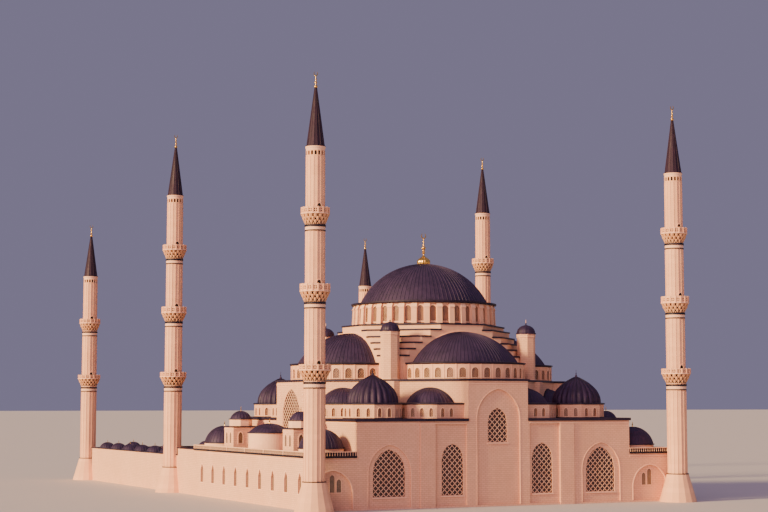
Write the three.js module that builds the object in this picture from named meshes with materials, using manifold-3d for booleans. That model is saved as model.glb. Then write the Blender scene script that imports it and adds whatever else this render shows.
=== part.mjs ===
// A domed mosque with a square hall, a forecourt and six minarets, as a 1:10 model.
// Lengths below are metres of the real building. The finished group is scaled to model millimetres.
// The origin is on the ground under the middle of the main dome: +X runs to the right along the
// front wall, +Y from the front wall towards the forecourt, and +Z up.
import * as THREE from "three";
import { mergeVertices } from "three/addons/utils/BufferGeometryUtils.js";
import Module from "manifold-3d";

const MODEL_MM_PER_METRE = 100;
const GAP = 0.003; // 0.3 mm in the model, between pieces that touch
const MERGE_DISTANCE = 1e-5;
const FUSE = 0.2; // how far joined masses run into each other before they are fused
const DEEP = 60; // longer than any wall is thick, for the solids that cut through
const QUARTER_TURN = Math.PI / 2;

// Heights and plan of the hall, from the ground up
const HALL_HALF_X = 40.15;
const HALL_HALF_Y = 41.5;
const HALL_WALL = 2.4;
const FLOOR_TOP = 0.5;
const EAVES = 21.9;
const DECK_TOP = 22.3;
const CORNICE_REACH = 0.3;

// The upper storey is an octagon with four short arms: its long diagonal faces lie on
// |x| + |y| = DIAGONAL_SUM, and the arms run out from them to the middles of the four walls
const DIAGONAL_SUM = 46.0;
const UPPER_WALL = 1.5;
const UPPER_TOP = 31.9;
const UPPER_DECK_TOP = 32.3;
const END_HALF_X = 8.8;
const END_HALF_Y = 10.15;

// Piers, great arches and the stepped bands above them
const ARM_HALF = 14.3;
const PIER_REACH = 24.6;
const PIER_CHAMFER = 1.5;
const GABLE_PLANE = 22.1;
const ARCH_HALF = 14.2;
const ARCH_RADIUS = 16.9;
const ARCH_CENTRE_Z = 27.7;
const ARCH_STEPS = 6;
const STEP_BANDS = [
  { half: 17.5, top: 38.7 },
  { half: 16.0, top: 40.5 },
  { half: 14.1, top: 42.2 },
  { half: 12.1, top: 43.9 },
  { half: 9.5, top: 45.75 },
  { half: 6.4, top: 47.3 },
];

// Main drum and dome
const DRUM_FOOT = 47.3;
const DRUM_INNER = 16.7;
const DRUM_WALL = 18.7;
const DRUM_PIER = 20.1;
const DRUM_PIER_HALF = 0.75;
const DRUM_SILL = 48.3;
const DRUM_WINDOW_SPRING = 51.3;
const DRUM_WINDOW_TOP = 52.15;
const DRUM_TOP = 53.7;
const DRUM_BAYS = 36;
const DRUM_WINDOW_HALF = 0.85;
const DOME_RADIUS = 17.9;
const DOME_CUT = 0.1; // how far below the apex the dome is levelled for its finial
const DOME_APEX = 65.1;
const DOME_SHELL = 0.5;
const DOME_FLAT = 1.9;

// Half domes round the main dome, each on a half drum
const HALF_DOME_CENTRE = 22.3;
const HALF_DRUM_OUTER = 16.56;
const HALF_DRUM_CORNICE = 17.0;
const HALF_DRUM_TOP = 36.8;
const HALF_DRUM_SILL = 32.75;
const HALF_DRUM_WINDOW_TOP = 35.4;
const HALF_DRUM_WINDOW_HALF = 0.87;
const HALF_DRUM_WINDOWS = 16;
const HALF_DRUM_PITCH = Math.PI / HALF_DRUM_WINDOWS;
const HALF_DOME_RADIUS = 14.9;
const HALF_DOME_APEX = 45.2;
const HALF_DOME_SHELL = 0.5;

// Small domes on the lower storey. An exedra is a half dome on the front part of a regular octagon
const EXEDRA_NEAR = 12.0; // along the diagonal wall from its middle, towards the front end
const EXEDRA_FAR = -12.0;
const EXEDRA_REACH = 6.94; // from the diagonal wall to the octagon's front face
const EXEDRA_FACE_HALF = 3.93;
const EXEDRA_WALL = 1.0;
const EXEDRA_DECK_HOLE = 2.0; // from the octagon's outside to the hole in the deck inside it
const EXEDRA_RIM = 26.1;
const EXEDRA_LEDGE = 0.35;
const EXEDRA_RADIUS = 6.35;
const EXEDRA_SETBACK = 0.8; // the dome's middle lies this far behind the wall's outside face
const EXEDRA_APEX = 30.1;
const EXEDRA_SHELL = 0.4;
const EXEDRA_ARCH_HALF = 5.0;
const EXEDRA_ARCH_SPRING = 24.6;
const SMALL_WINDOW_HALF = 0.5;
const SMALL_SILL = 22.7;
const SMALL_SPRING = 24.3;
const SMALL_TOP = 24.95;
const EXEDRA_PITCH = 2.46;
const EXEDRA_SIDE_SHIFT = 1.0; // the side facets' windows stand this far from the middle, to the front
const BUTTRESS_X = 0.55;
const BUTTRESS_HALF = 3.2;
const BUTTRESS_REACH = 1.2;
const CORNER_CENTRE = 30.6;
const CORNER_DRUM_RADIUS = 7.5;
const CORNER_DRUM_WALL = 1.0;
const CORNER_PITCH = 2.66;
const CORNER_DOME_SECTION = [
  [6.6, 26.0],
  [6.45, 27.85],
  [5.6, 29.6],
  [4.2, 31.05],
  [2.5, 32.25],
  [0.8, 33.1],
  [0.1, 33.6],
];
const CORNER_TOP = 35.2;
const CORNER_WINDOW_FACETS = [-3, -2, -1, 0, 1]; // eighths of a turn from the front; none to the hall

// Weight towers beside the great arches
const TOWER_CENTRE = 20.8;
const TOWER_RADIUS = 2.5;
const TOWER_RIM = 45.1;
const TOWER_COLLAR = { foot: 1.0, wash: 0.2, reach: 0.12 };
const TOWER_CAP = [
  [2.3, 0],
  [1.95, 1.3],
  [1.0, 2.15],
  [0.1, 2.4],
  [0.06, 3.9],
]; // radii, and heights over the rim

// Side galleries, narthex and forecourt
const WING_HALF_X = 52.6;
const WING_WALL = 1.2;
const WING_EAVES = 12.6;
const WING_DECK_TOP = 13.0;
const WING_PARAPET_TOP = 14.35;
const WING_PARAPET = 0.35;
const NARTHEX_END = 56.3;
const COURT_END = 146.5;
const ARCADE_DEPTH = 7.0;
const ARCADE_EAVES = 9.6;
const ARCADE_DECK_TOP = 10.0;
const ARCADE_PARAPET_TOP = 11.0;
const COURT_FLOOR = 0.3;
const PORTAL_HALF = 6.0;
const PORTAL_TOP = 15.0;

// Minarets
const MINARET_X = 53.07;
const FRONT_MINARET_Y = -45.15;
const MIDDLE_MINARET_Y = 59.95;
const REAR_MINARET_Y = 150.15;
const MINARET_SIDES = 8;
const CAP_RADIUS = 2.25;
const FLARE_RADIUS = 5.15;
const FLARE_NECK = 2.85;
const FLARE_TOP = 7.36;
const FLARE_WASH = 0.3;
const TALL_MINARET = {
  radii: [2.6, 2.5, 2.4, 2.33],
  balconies: [
    { foot: 31.5, top: 35.4, radius: 3.85 },
    { foot: 50.5, top: 54.85, radius: 3.63 },
    { foot: 69.35, top: 73.45, radius: 3.45 },
  ],
  coneFoot: 88.4,
  coneTop: 103.14,
  top: 107.1,
};
const LOW_MINARET = {
  radii: [2.6, 2.45, 2.33],
  balconies: [
    { foot: 32.2, top: 36.0, radius: 3.75 },
    { foot: 51.4, top: 55.4, radius: 3.45 },
  ],
  coneFoot: 70.27,
  coneTop: 84.45,
  top: 88.5,
};

const stone = new THREE.MeshStandardMaterial({ color: 0xe6cba6, roughness: 0.85, metalness: 0 });
const lead = new THREE.MeshStandardMaterial({ color: 0x494453, roughness: 0.55, metalness: 0.35 });
const gilt = new THREE.MeshStandardMaterial({ color: 0xd8a23a, roughness: 0.3, metalness: 0.9 });
const glass = new THREE.MeshStandardMaterial({ color: 0x4a2a24, roughness: 0.15, metalness: 0 });

const wasm = await Module();
wasm.setup();

// Solids from geometry and back

function manifoldFrom(positions, triangles) {
  const mesh = new wasm.Mesh({ numProp: 3, vertProperties: positions, triVerts: triangles });
  return new wasm.Manifold(mesh);
}

// A closed geometry as a solid, turned the right way out where its profile ran the other way.
function solid(geometry) {
  const bare = geometry.clone();
  bare.deleteAttribute("normal");
  bare.deleteAttribute("uv");
  const merged = mergeVertices(bare, MERGE_DISTANCE);
  const positions = merged.attributes.position.array;
  const forward = [];
  const backward = [];
  for (let i = 0; i < merged.index.count; i += 3) {
    const [a, b, c] = [0, 1, 2].map((k) => merged.index.getX(i + k));
    if (a === b || b === c || c === a) continue;
    forward.push(a, b, c);
    backward.push(a, c, b);
  }
  const made = manifoldFrom(positions, Uint32Array.from(forward));
  return made.volume() > 0 ? made : manifoldFrom(positions, Uint32Array.from(backward));
}

function geometryOf(body) {
  const raw = body.getMesh();
  const geometry = new THREE.BufferGeometry();
  geometry.setAttribute("position", new THREE.BufferAttribute(raw.vertProperties, 3));
  geometry.setIndex(new THREE.BufferAttribute(raw.triVerts, 1));
  return geometry;
}

const joined = (bodies) => bodies.reduce((sum, body) => sum.add(body));
const without = (body, cutters) => cutters.reduce((left, cutter) => left.subtract(cutter), body);

// A copy of a solid, turned about the upright axis and then moved.
function placed(body, turn, x, y) {
  const matrix = new THREE.Matrix4().makeRotationZ(turn).setPosition(x, y, 0);
  return solid(geometryOf(body).applyMatrix4(matrix));
}

// Basic forms

const outline = (points) => new THREE.Shape(points.map(([x, y]) => new THREE.Vector2(x, y)));

// A plan outline raised from one level to another.
function raised(points, from, to) {
  const geometry = new THREE.ExtrudeGeometry(outline(points), { depth: to - from, bevelEnabled: false });
  return solid(geometry.translate(0, 0, from));
}

// An elevation outline in x and z, given thickness along y.
function upright(points, from, to) {
  const geometry = new THREE.ExtrudeGeometry(outline(points), { depth: to - from, bevelEnabled: false });
  return solid(geometry.rotateX(QUARTER_TURN).translate(0, to, 0));
}

function rectangle(x0, y0, x1, y1) {
  return [
    [x0, y0],
    [x1, y0],
    [x1, y1],
    [x0, y1],
  ];
}

const block = (x0, x1, y0, y1, z0, z1) => raised(rectangle(x0, y0, x1, y1), z0, z1);

// A profile of radius and height turned about the upright axis; a flat of the polygon faces -Y.
function turned(profile, sides) {
  const points = profile.map(([radius, height]) => new THREE.Vector2(radius, height));
  const geometry = new THREE.LatheGeometry(points, sides);
  return solid(geometry.rotateX(QUARTER_TURN).rotateZ(Math.PI / sides));
}

const post = (radius, z0, z1, sides) =>
  turned(
    [
      [0, z0],
      [radius, z0],
      [radius, z1],
      [0, z1],
    ],
    sides,
  );

// A pointed or round arch: two arcs that spring level and meet at the apex.
function archOutline(centre, half, sill, spring, apex, steps) {
  const rise = apex - spring;
  const inset = (rise * rise - half * half) / (2 * half);
  const radius = half + inset;
  const sweep = Math.atan2(rise, inset);
  const side = [];
  for (let i = 0; i <= steps; i++) {
    const angle = (sweep * i) / steps;
    side.push([radius * Math.cos(angle) - inset, spring + radius * Math.sin(angle)]);
  }
  const right = side.map(([x, z]) => [centre + x, z]);
  const left = side.slice(0, steps).reverse().map(([x, z]) => [centre - x, z]);
  return [[centre - half, sill], [centre + half, sill], ...right, ...left];
}

// The points of a dome's section, from its rim to its apex, as part of a circle.
function domeSection(rimRadius, rimHeight, apexHeight, steps) {
  const rise = apexHeight - rimHeight;
  const radius = (rimRadius * rimRadius + rise * rise) / (2 * rise);
  const centre = apexHeight - radius;
  const start = Math.atan2(rimHeight - centre, rimRadius);
  const points = [];
  for (let i = 0; i <= steps; i++) {
    const angle = start + ((QUARTER_TURN - start) * i) / steps;
    points.push([i === steps ? 0 : radius * Math.cos(angle), centre + radius * Math.sin(angle)]);
  }
  return points;
}

// A dome as a shell, open below.
function domeShell(rimRadius, rimHeight, apexHeight, thickness, steps, sides) {
  const outer = domeSection(rimRadius, rimHeight, apexHeight, steps);
  const inner = domeSection(rimRadius - thickness, rimHeight, apexHeight - thickness, steps - 1);
  return turned([...outer, ...inner.reverse(), outer[0]], sides);
}

// Minarets

function minaretShaftProfile(kind) {
  const points = [
    [0, 0],
    [FLARE_RADIUS, 0],
    [FLARE_NECK, FLARE_TOP],
    [kind.radii[0], FLARE_TOP + FLARE_WASH],
  ];
  const corbel = 2.45;
  const parapet = 0.22;
  const floorDrop = 1.25;
  kind.balconies.forEach(({ foot, top, radius }, level) => {
    points.push([kind.radii[level], foot]);
    points.push([radius, foot + corbel]);
    points.push([radius, top]);
    points.push([radius - parapet, top]);
    points.push([radius - parapet, top - floorDrop]);
    points.push([kind.radii[level + 1], top - floorDrop]);
  });
  const last = kind.radii.at(-1);
  const cornice = 0.2;
  points.push([last, kind.coneFoot - 3 * cornice]);
  points.push([last + cornice, kind.coneFoot - cornice]);
  points.push([last + cornice, kind.coneFoot]);
  points.push([0, kind.coneFoot]);
  return points;
}

const minaretShaft = (kind) => turned(minaretShaftProfile(kind), MINARET_SIDES);

// The finial on a minaret's cone: radii, and shares of its height.
const MINARET_FINIAL = [
  [0.28, 0],
  [0.48, 0.2],
  [0.14, 0.45],
  [0.07, 1],
];

function minaretCap(kind) {
  const foot = kind.coneFoot + GAP;
  const rise = kind.top - kind.coneTop;
  const finial = MINARET_FINIAL.map(([radius, share]) => [radius, kind.coneTop + rise * share]);
  return turned([[0, foot], [CAP_RADIUS, foot], ...finial, [0, kind.top]], MINARET_SIDES);
}

// The space that a minaret's flared foot needs in the walls beside it.
function minaretNotch(x, y) {
  const clear = GAP / Math.cos(Math.PI / MINARET_SIDES);
  const profile = [
    [0, -1],
    [FLARE_RADIUS + clear + (FLARE_RADIUS - FLARE_NECK) / FLARE_TOP, -1],
    [FLARE_NECK + clear, FLARE_TOP],
    [FLARE_NECK + clear, PORTAL_TOP],
    [0, PORTAL_TOP],
  ];
  return placed(turned(profile, MINARET_SIDES), 0, x, y);
}

// Hall

// A wall seen from outside, with a raised middle under the octagon's end.
function wallOutline(half, endHalf) {
  return [
    [-half, 0],
    [half, 0],
    [half, EAVES],
    [endHalf, EAVES],
    [endHalf, UPPER_TOP],
    [-endHalf, UPPER_TOP],
    [-endHalf, EAVES],
    [-half, EAVES],
  ];
}

const CENTRE_RECESS = { half: 6.4, depth: 0.5, spring: 22.3, apex: 30.0 };
const CENTRE_WINDOW = { half: 2.87, sill: 16.2, spring: 21.4, apex: 25.0 };
const BAY_RECESS = { from: 9.27, to: 18.4, top: 21.3, depth: 0.45 };
const BAY_WINDOW = { centre: 13.2, half: 3.1, sill: 3.0, spring: 12.2, apex: 16.0 };
const CORNER_RECESS = { centre: 31.1, half: 5.97, spring: 8.9, apex: 16.0, depth: 0.35 };
const CORNER_WINDOW = { centre: 31.1, half: 4.46, sill: 3.0, spring: 9.4, apex: 14.8 };
const PILASTER = { from: 18.4, to: 22.6, reach: 0.3, top: 21.2 };
const SIDE_WINDOW = { half: 5.85, sill: 19.5, spring: 22.6, apex: 30.0 };
const DOORWAY = { half: 2.5, spring: 5.0, apex: 8.2 };
const SIDE_DOORWAYS = [-24, 0, 24];

// The wall with its outside face on y = 0 and its inside on y = HALL_WALL. The rear one has the
// doorway, and the front one the pilasters.
function longWall(isRear) {
  const wall = upright(wallOutline(HALL_HALF_X, END_HALF_X), 0, HALL_WALL);
  const recess = ({ centre, half, spring, apex, depth }) =>
    upright(archOutline(centre, half, FLOOR_TOP, spring, apex, 4), -1, depth);
  const window = ({ centre, half, sill, spring, apex }) =>
    upright(archOutline(centre, half, sill, spring, apex, 3), -1, DEEP);
  const between = (side, from, to, y0, y1, z0, z1) =>
    block(Math.min(side * from, side * to), Math.max(side * from, side * to), y0, y1, z0, z1);
  const cutters = [recess({ ...CENTRE_RECESS, centre: 0 }), window({ ...CENTRE_WINDOW, centre: 0 })];
  const strips = [];
  for (const side of [-1, 1]) {
    const bay = BAY_RECESS;
    cutters.push(between(side, bay.from, bay.to, -1, bay.depth, FLOOR_TOP, bay.top));
    cutters.push(window({ ...BAY_WINDOW, centre: side * BAY_WINDOW.centre }));
    cutters.push(recess({ ...CORNER_RECESS, centre: side * CORNER_RECESS.centre }));
    cutters.push(window({ ...CORNER_WINDOW, centre: side * CORNER_WINDOW.centre }));
    const strip = PILASTER;
    strips.push(between(side, strip.from, strip.to, -strip.reach, FUSE, 0, strip.top));
  }
  if (isRear) return without(wall, [...cutters, doorwayCut(0)]);
  return without(wall, cutters).add(joined(strips));
}

function doorwayCut(centre) {
  const { half, spring, apex } = DOORWAY;
  return upright(archOutline(centre, half, FLOOR_TOP, spring, apex, 3), -1, DEEP);
}

// The shorter wall between the long ones, with the big lattice window in its raised middle.
function sideWall() {
  const half = HALL_HALF_Y - HALL_WALL - GAP;
  const wall = upright(wallOutline(half, END_HALF_Y), 0, HALL_WALL);
  const big = SIDE_WINDOW;
  const window = upright(archOutline(0, big.half, big.sill, big.spring, big.apex, 5), -1, DEEP);
  return without(wall, [window, ...SIDE_DOORWAYS.map(doorwayCut)]);
}

// One sheet of glass against the inside face of a wall, over all its lattice windows.
const GLASS_THICKNESS = 0.1;
const GLASS_MARGIN = 0.5;

function glassSheet(points) {
  return upright(points, HALL_WALL + GAP, HALL_WALL + GAP + GLASS_THICKNESS);
}

function longGlass() {
  const reach = CORNER_WINDOW.centre + CORNER_WINDOW.half + GLASS_MARGIN;
  const low = CORNER_WINDOW.sill - GLASS_MARGIN;
  const middle = BAY_WINDOW.apex + GLASS_MARGIN;
  const half = CENTRE_WINDOW.half + GLASS_MARGIN;
  const top = CENTRE_WINDOW.apex + GLASS_MARGIN;
  const door = DOORWAY.half + GLASS_MARGIN;
  const doorTop = DOORWAY.apex + GLASS_MARGIN;
  return glassSheet([
    [-reach, low],
    [-door, low],
    [-door, doorTop],
    [door, doorTop],
    [door, low],
    [reach, low],
    [reach, middle],
    [half, middle],
    [half, top],
    [-half, top],
    [-half, middle],
    [-reach, middle],
  ]);
}

function sideGlass() {
  const { sill, apex } = SIDE_WINDOW;
  const half = SIDE_WINDOW.half + GLASS_MARGIN;
  return glassSheet(rectangle(-half, sill - GLASS_MARGIN, half, apex + GLASS_MARGIN));
}

// The floor with the four piers that carry the great arches.
function hallFloor() {
  const halfX = HALL_HALF_X - HALL_WALL - GAP;
  const halfY = HALL_HALF_Y - HALL_WALL - GAP;
  const slab = block(-halfX, halfX, -halfY, halfY, 0, FLOOR_TOP);
  const innerFace = DIAGONAL_SUM - UPPER_WALL * Math.SQRT2 - GAP * Math.SQRT2;
  const plan = [
    [ARM_HALF, ARM_HALF + PIER_CHAMFER],
    [ARM_HALF + PIER_CHAMFER, ARM_HALF],
    [PIER_REACH, ARM_HALF],
    [PIER_REACH, innerFace - PIER_REACH],
    [innerFace - PIER_REACH, PIER_REACH],
    [ARM_HALF, PIER_REACH],
  ];
  const pier = raised(plan, FLOOR_TOP - FUSE, UPPER_TOP);
  const turns = [0, 1, 2, 3].map((quarter) => placed(pier, quarter * QUARTER_TURN, 0, 0));
  return joined([slab, ...turns]);
}

// A point of the octagon's plan in the front left quarter, by its distance along the diagonal
// wall from the middle, towards the front end, and its distance out from the outside face.
function alongDiagonal(along, out) {
  const middle = DIAGONAL_SUM / 2;
  return [-middle + (along - out) * Math.SQRT1_2, -middle - (along + out) * Math.SQRT1_2];
}

// The small pointed windows of a flat facet whose middle is the origin and whose outside is -Y.
function facetWindows(count, pitch, shift) {
  const depth = EXEDRA_WALL + FUSE;
  const cutters = [];
  for (let i = 0; i < count; i++) {
    const centre = shift + (i - (count - 1) / 2) * pitch;
    const points = archOutline(centre, SMALL_WINDOW_HALF, SMALL_SILL, SMALL_SPRING, SMALL_TOP, 1);
    cutters.push(upright(points, -depth, depth));
  }
  return joined(cutters);
}

// The front part of an exedra's octagon, out from the wall face on y = 0, made smaller all round.
function exedraPlan(inset) {
  const face = EXEDRA_FACE_HALF - inset * Math.tan(Math.PI / 8);
  const side = EXEDRA_FACE_HALF * (1 + Math.SQRT2) - inset;
  const front = EXEDRA_REACH - inset;
  const shoulder = front - (side - face);
  return [
    [-side, FUSE],
    [-side, -shoulder],
    [-face, -front],
    [face, -front],
    [side, -shoulder],
    [side, FUSE],
  ];
}

// A half dome on its half drum, standing out from a wall face on y = 0.
function exedra() {
  const foot = DECK_TOP + GAP;
  const room = raised(exedraPlan(EXEDRA_WALL), foot - 1, EXEDRA_RIM - EXEDRA_LEDGE);
  const drum = raised(exedraPlan(0), foot, EXEDRA_RIM).subtract(room);
  const bowl = post(EXEDRA_RADIUS - EXEDRA_SHELL, EXEDRA_RIM - 1, EXEDRA_RIM + FUSE, 12);
  const shell = domeShell(EXEDRA_RADIUS, EXEDRA_RIM - FUSE / 2, EXEDRA_APEX, EXEDRA_SHELL, 4, 12);
  const front = block(-DEEP, DEEP, -DEEP, FUSE, 0, DEEP);
  const [, shoulder, face] = exedraPlan(0);
  const sideX = (shoulder[0] + face[0]) / 2;
  const sideY = (shoulder[1] + face[1]) / 2;
  const cutters = [
    placed(bowl, 0, 0, EXEDRA_SETBACK),
    placed(facetWindows(3, EXEDRA_PITCH, 0), 0, 0, -EXEDRA_REACH),
    placed(facetWindows(2, EXEDRA_PITCH, EXEDRA_SIDE_SHIFT), -QUARTER_TURN / 2, sideX, sideY),
    placed(facetWindows(2, EXEDRA_PITCH, -EXEDRA_SIDE_SHIFT), QUARTER_TURN / 2, -sideX, sideY),
  ];
  return without(drum, cutters).add(placed(shell, 0, 0, EXEDRA_SETBACK).intersect(front));
}

// The insides of the two walls that a diagonal wall meets, in the front left quarter.
const ARM_END_X = HALL_HALF_X - HALL_WALL - GAP;
const ARM_END_Y = HALL_HALF_Y - HALL_WALL - GAP;

// What the arms and the walls at their ends take from the exedrae beside them. The exedrae run
// a little way into the arms' sides, and keep clear of the hall walls.
function armSpace() {
  return joined([
    block(-END_HALF_X + FUSE, 0, -DEEP, 0, 0, DEEP),
    block(-DEEP, 0, -END_HALF_Y + FUSE, 0, 0, DEEP),
    block(-END_HALF_X - GAP, 0, -DEEP, -ARM_END_Y, 0, DEEP),
    block(-DEEP, -ARM_END_X, -END_HALF_Y - GAP, 0, 0, DEEP),
  ]);
}

// A diagonal wall of the octagon, in the front left quarter, with the sides of the two arms and
// the two half domes.
function diagonalWall() {
  const inner = DIAGONAL_SUM - UPPER_WALL * Math.SQRT2;
  const insideX = END_HALF_X - UPPER_WALL;
  const insideY = END_HALF_Y - UPPER_WALL;
  const foot = DECK_TOP + GAP;
  const wall = raised(
    [
      [-END_HALF_X, -ARM_END_Y],
      [-END_HALF_X, END_HALF_X - DIAGONAL_SUM],
      [END_HALF_Y - DIAGONAL_SUM, -END_HALF_Y],
      [-ARM_END_X, -END_HALF_Y],
      [-ARM_END_X, -insideY],
      [insideY - inner, -insideY],
      [-insideX, insideX - inner],
      [-insideX, -ARM_END_Y],
    ],
    foot,
    UPPER_TOP,
  );
  const buttress = raised(
    [
      alongDiagonal(BUTTRESS_X - BUTTRESS_HALF, -FUSE),
      alongDiagonal(BUTTRESS_X - BUTTRESS_HALF, 0),
      alongDiagonal(BUTTRESS_X - BUTTRESS_HALF + BUTTRESS_REACH, BUTTRESS_REACH),
      alongDiagonal(BUTTRESS_X + BUTTRESS_HALF - BUTTRESS_REACH, BUTTRESS_REACH),
      alongDiagonal(BUTTRESS_X + BUTTRESS_HALF, 0),
      alongDiagonal(BUTTRESS_X + BUTTRESS_HALF, -FUSE),
    ],
    foot,
    UPPER_TOP,
  );
  const rise = EXEDRA_ARCH_SPRING + EXEDRA_ARCH_HALF;
  const opening = archOutline(0, EXEDRA_ARCH_HALF, foot - 1, EXEDRA_ARCH_SPRING, rise, 3);
  const arch = upright(opening, -1, UPPER_WALL + 1);
  const shell = exedra();
  const centres = [EXEDRA_NEAR, EXEDRA_FAR].map((along) => alongDiagonal(along, 0));
  const arches = centres.map(([x, y]) => placed(arch, -QUARTER_TURN / 2, x, y));
  const shells = centres.map(([x, y]) => placed(shell, -QUARTER_TURN / 2, x, y).subtract(armSpace()));
  return without(joined([wall, buttress]), arches).add(joined(shells));
}

// The roof over a corner of the lower storey, in the front left quarter: deck, octagonal drum, dome.
function cornerDome() {
  const edgeX = HALL_HALF_X + CORNICE_REACH;
  const edgeY = HALL_HALF_Y + CORNICE_REACH;
  const sum = DIAGONAL_SUM + GAP;
  const nearX = END_HALF_X + GAP;
  const nearY = END_HALF_Y + GAP;
  const deck = raised(
    [
      [-nearX, -edgeY],
      [-nearX, nearX - sum],
      [nearY - sum, -nearY],
      [-edgeX, -nearY],
      [-edgeX, -edgeY],
    ],
    EAVES + GAP,
    DECK_TOP,
  );
  const exedraHole = raised(exedraPlan(EXEDRA_DECK_HOLE), EAVES - 1, DECK_TOP + 1);
  const holes = [EXEDRA_NEAR, EXEDRA_FAR].map((along) => {
    const [x, y] = alongDiagonal(along, 0);
    return placed(exedraHole, -QUARTER_TURN / 2, x, y);
  });
  const inside = CORNER_DRUM_RADIUS - CORNER_DRUM_WALL;
  const section = CORNER_DOME_SECTION;
  const [rimRadius, rimHeight] = section[0];
  const bowl = rimRadius - EXEDRA_SHELL;
  const ring = turned(
    [
      [inside, DECK_TOP - FUSE],
      [CORNER_DRUM_RADIUS, DECK_TOP - FUSE],
      [CORNER_DRUM_RADIUS, EXEDRA_RIM],
      [bowl, EXEDRA_RIM],
      [inside, EXEDRA_RIM - EXEDRA_LEDGE],
      [inside, DECK_TOP - FUSE],
    ],
    8,
  );
  const apothem = CORNER_DRUM_RADIUS * Math.cos(Math.PI / 8);
  const windows = [];
  for (const facet of CORNER_WINDOW_FACETS) {
    const turn = (facet * QUARTER_TURN) / 2;
    const pair = facetWindows(2, CORNER_PITCH, 0);
    windows.push(placed(pair, turn, apothem * Math.sin(turn), -apothem * Math.cos(turn)));
  }
  const shoulder = section.at(-3);
  const hollow = domeSection(bowl, rimHeight, shoulder[1], 2);
  const spike = [
    [0.05, CORNER_TOP],
    [0, CORNER_TOP],
  ];
  const dome = turned([...section, ...spike, ...hollow.reverse(), section[0]], 12);
  const drum = placed(joined([without(ring, windows), dome]), 0, -CORNER_CENTRE, -CORNER_CENTRE);
  const well = placed(post(inside - FUSE, EAVES - 1, DECK_TOP + 1, 8), 0, -CORNER_CENTRE, -CORNER_CENTRE);
  return without(deck, [...holes, well]).add(drum);
}

// Upper roof, great arches and towers

function upperRoof() {
  const x = HALL_HALF_X + CORNICE_REACH;
  const y = HALL_HALF_Y + CORNICE_REACH;
  const armX = END_HALF_X + CORNICE_REACH;
  const armY = END_HALF_Y + CORNICE_REACH;
  const sum = DIAGONAL_SUM + CORNICE_REACH * Math.SQRT2;
  const quarter = [
    [armX, y],
    [armX, sum - armX],
    [sum - armY, armY],
    [x, armY],
  ];
  const plan = [
    ...quarter,
    ...quarter.map(([px, py]) => [px, -py]).reverse(),
    ...quarter.map(([px, py]) => [-px, -py]),
    ...quarter.map(([px, py]) => [-px, py]).reverse(),
  ];
  const slab = raised(plan, UPPER_TOP + GAP, UPPER_DECK_TOP);
  const cutters = [];
  for (let quarterTurn = 0; quarterTurn < 4; quarterTurn++) {
    const angle = quarterTurn * QUARTER_TURN;
    const bowl = post(ARM_HALF, UPPER_TOP - 1, UPPER_DECK_TOP + 1, 24);
    cutters.push(placed(bowl, 0, HALF_DOME_CENTRE * Math.sin(angle), -HALF_DOME_CENTRE * Math.cos(angle)));
  }
  cutters.push(block(-ARM_HALF, ARM_HALF, -GABLE_PLANE, GABLE_PLANE, UPPER_TOP - 1, UPPER_DECK_TOP + 1));
  cutters.push(block(-GABLE_PLANE, GABLE_PLANE, -ARM_HALF, ARM_HALF, UPPER_TOP - 1, UPPER_DECK_TOP + 1));
  return without(slab, cutters);
}

// The stepped mass under the drum: each band is an octagon whose cut corners follow its gables.
function greatArches() {
  const foot = UPPER_DECK_TOP + GAP;
  const bands = STEP_BANDS.map(({ half, top }, i) => {
    const from = i === 0 ? foot : STEP_BANDS[i - 1].top - FUSE;
    const plane = GABLE_PLANE;
    const corners = [
      [plane, half],
      [half, plane],
    ];
    const plan = [
      ...corners,
      ...corners.map(([x, y]) => [-x, y]).reverse(),
      ...corners.map(([x, y]) => [-x, -y]),
      ...corners.map(([x, y]) => [x, -y]).reverse(),
    ];
    return raised(plan, from, top);
  });
  const mass = joined(bands);
  const start = Math.acos(ARCH_HALF / ARCH_RADIUS);
  const curve = [];
  for (let i = 0; i <= ARCH_STEPS; i++) {
    const angle = start + ((Math.PI - 2 * start) * i) / ARCH_STEPS;
    curve.push([ARCH_RADIUS * Math.cos(angle), ARCH_CENTRE_Z + ARCH_RADIUS * Math.sin(angle)]);
  }
  const tunnel = upright([[-ARCH_HALF, foot - 1], [ARCH_HALF, foot - 1], ...curve], -DEEP, DEEP);
  const well = post(DRUM_INNER, foot - 1, DRUM_FOOT + 1, 24);
  const socket = post(TOWER_RADIUS + GAP / Math.cos(Math.PI / 8), foot - 1, TOWER_RIM, 8);
  const sockets = [];
  for (const x of [-TOWER_CENTRE, TOWER_CENTRE]) {
    for (const y of [-TOWER_CENTRE, TOWER_CENTRE]) sockets.push(placed(socket, 0, x, y));
  }
  return without(mass, [tunnel, placed(tunnel, QUARTER_TURN, 0, 0), well, ...sockets]);
}

function weightTower() {
  const foot = UPPER_DECK_TOP + GAP;
  const collar = TOWER_RIM - TOWER_COLLAR.foot;
  const wide = TOWER_RADIUS + TOWER_COLLAR.reach;
  const cap = TOWER_CAP.map(([radius, height]) => [radius, TOWER_RIM + height]);
  return turned(
    [
      [0, foot],
      [TOWER_RADIUS, foot],
      [TOWER_RADIUS, collar],
      [wide, collar + TOWER_COLLAR.wash],
      [wide, TOWER_RIM],
      ...cap,
      [0, cap.at(-1)[1]],
    ],
    8,
  );
}

// Main drum, dome and finial

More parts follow.
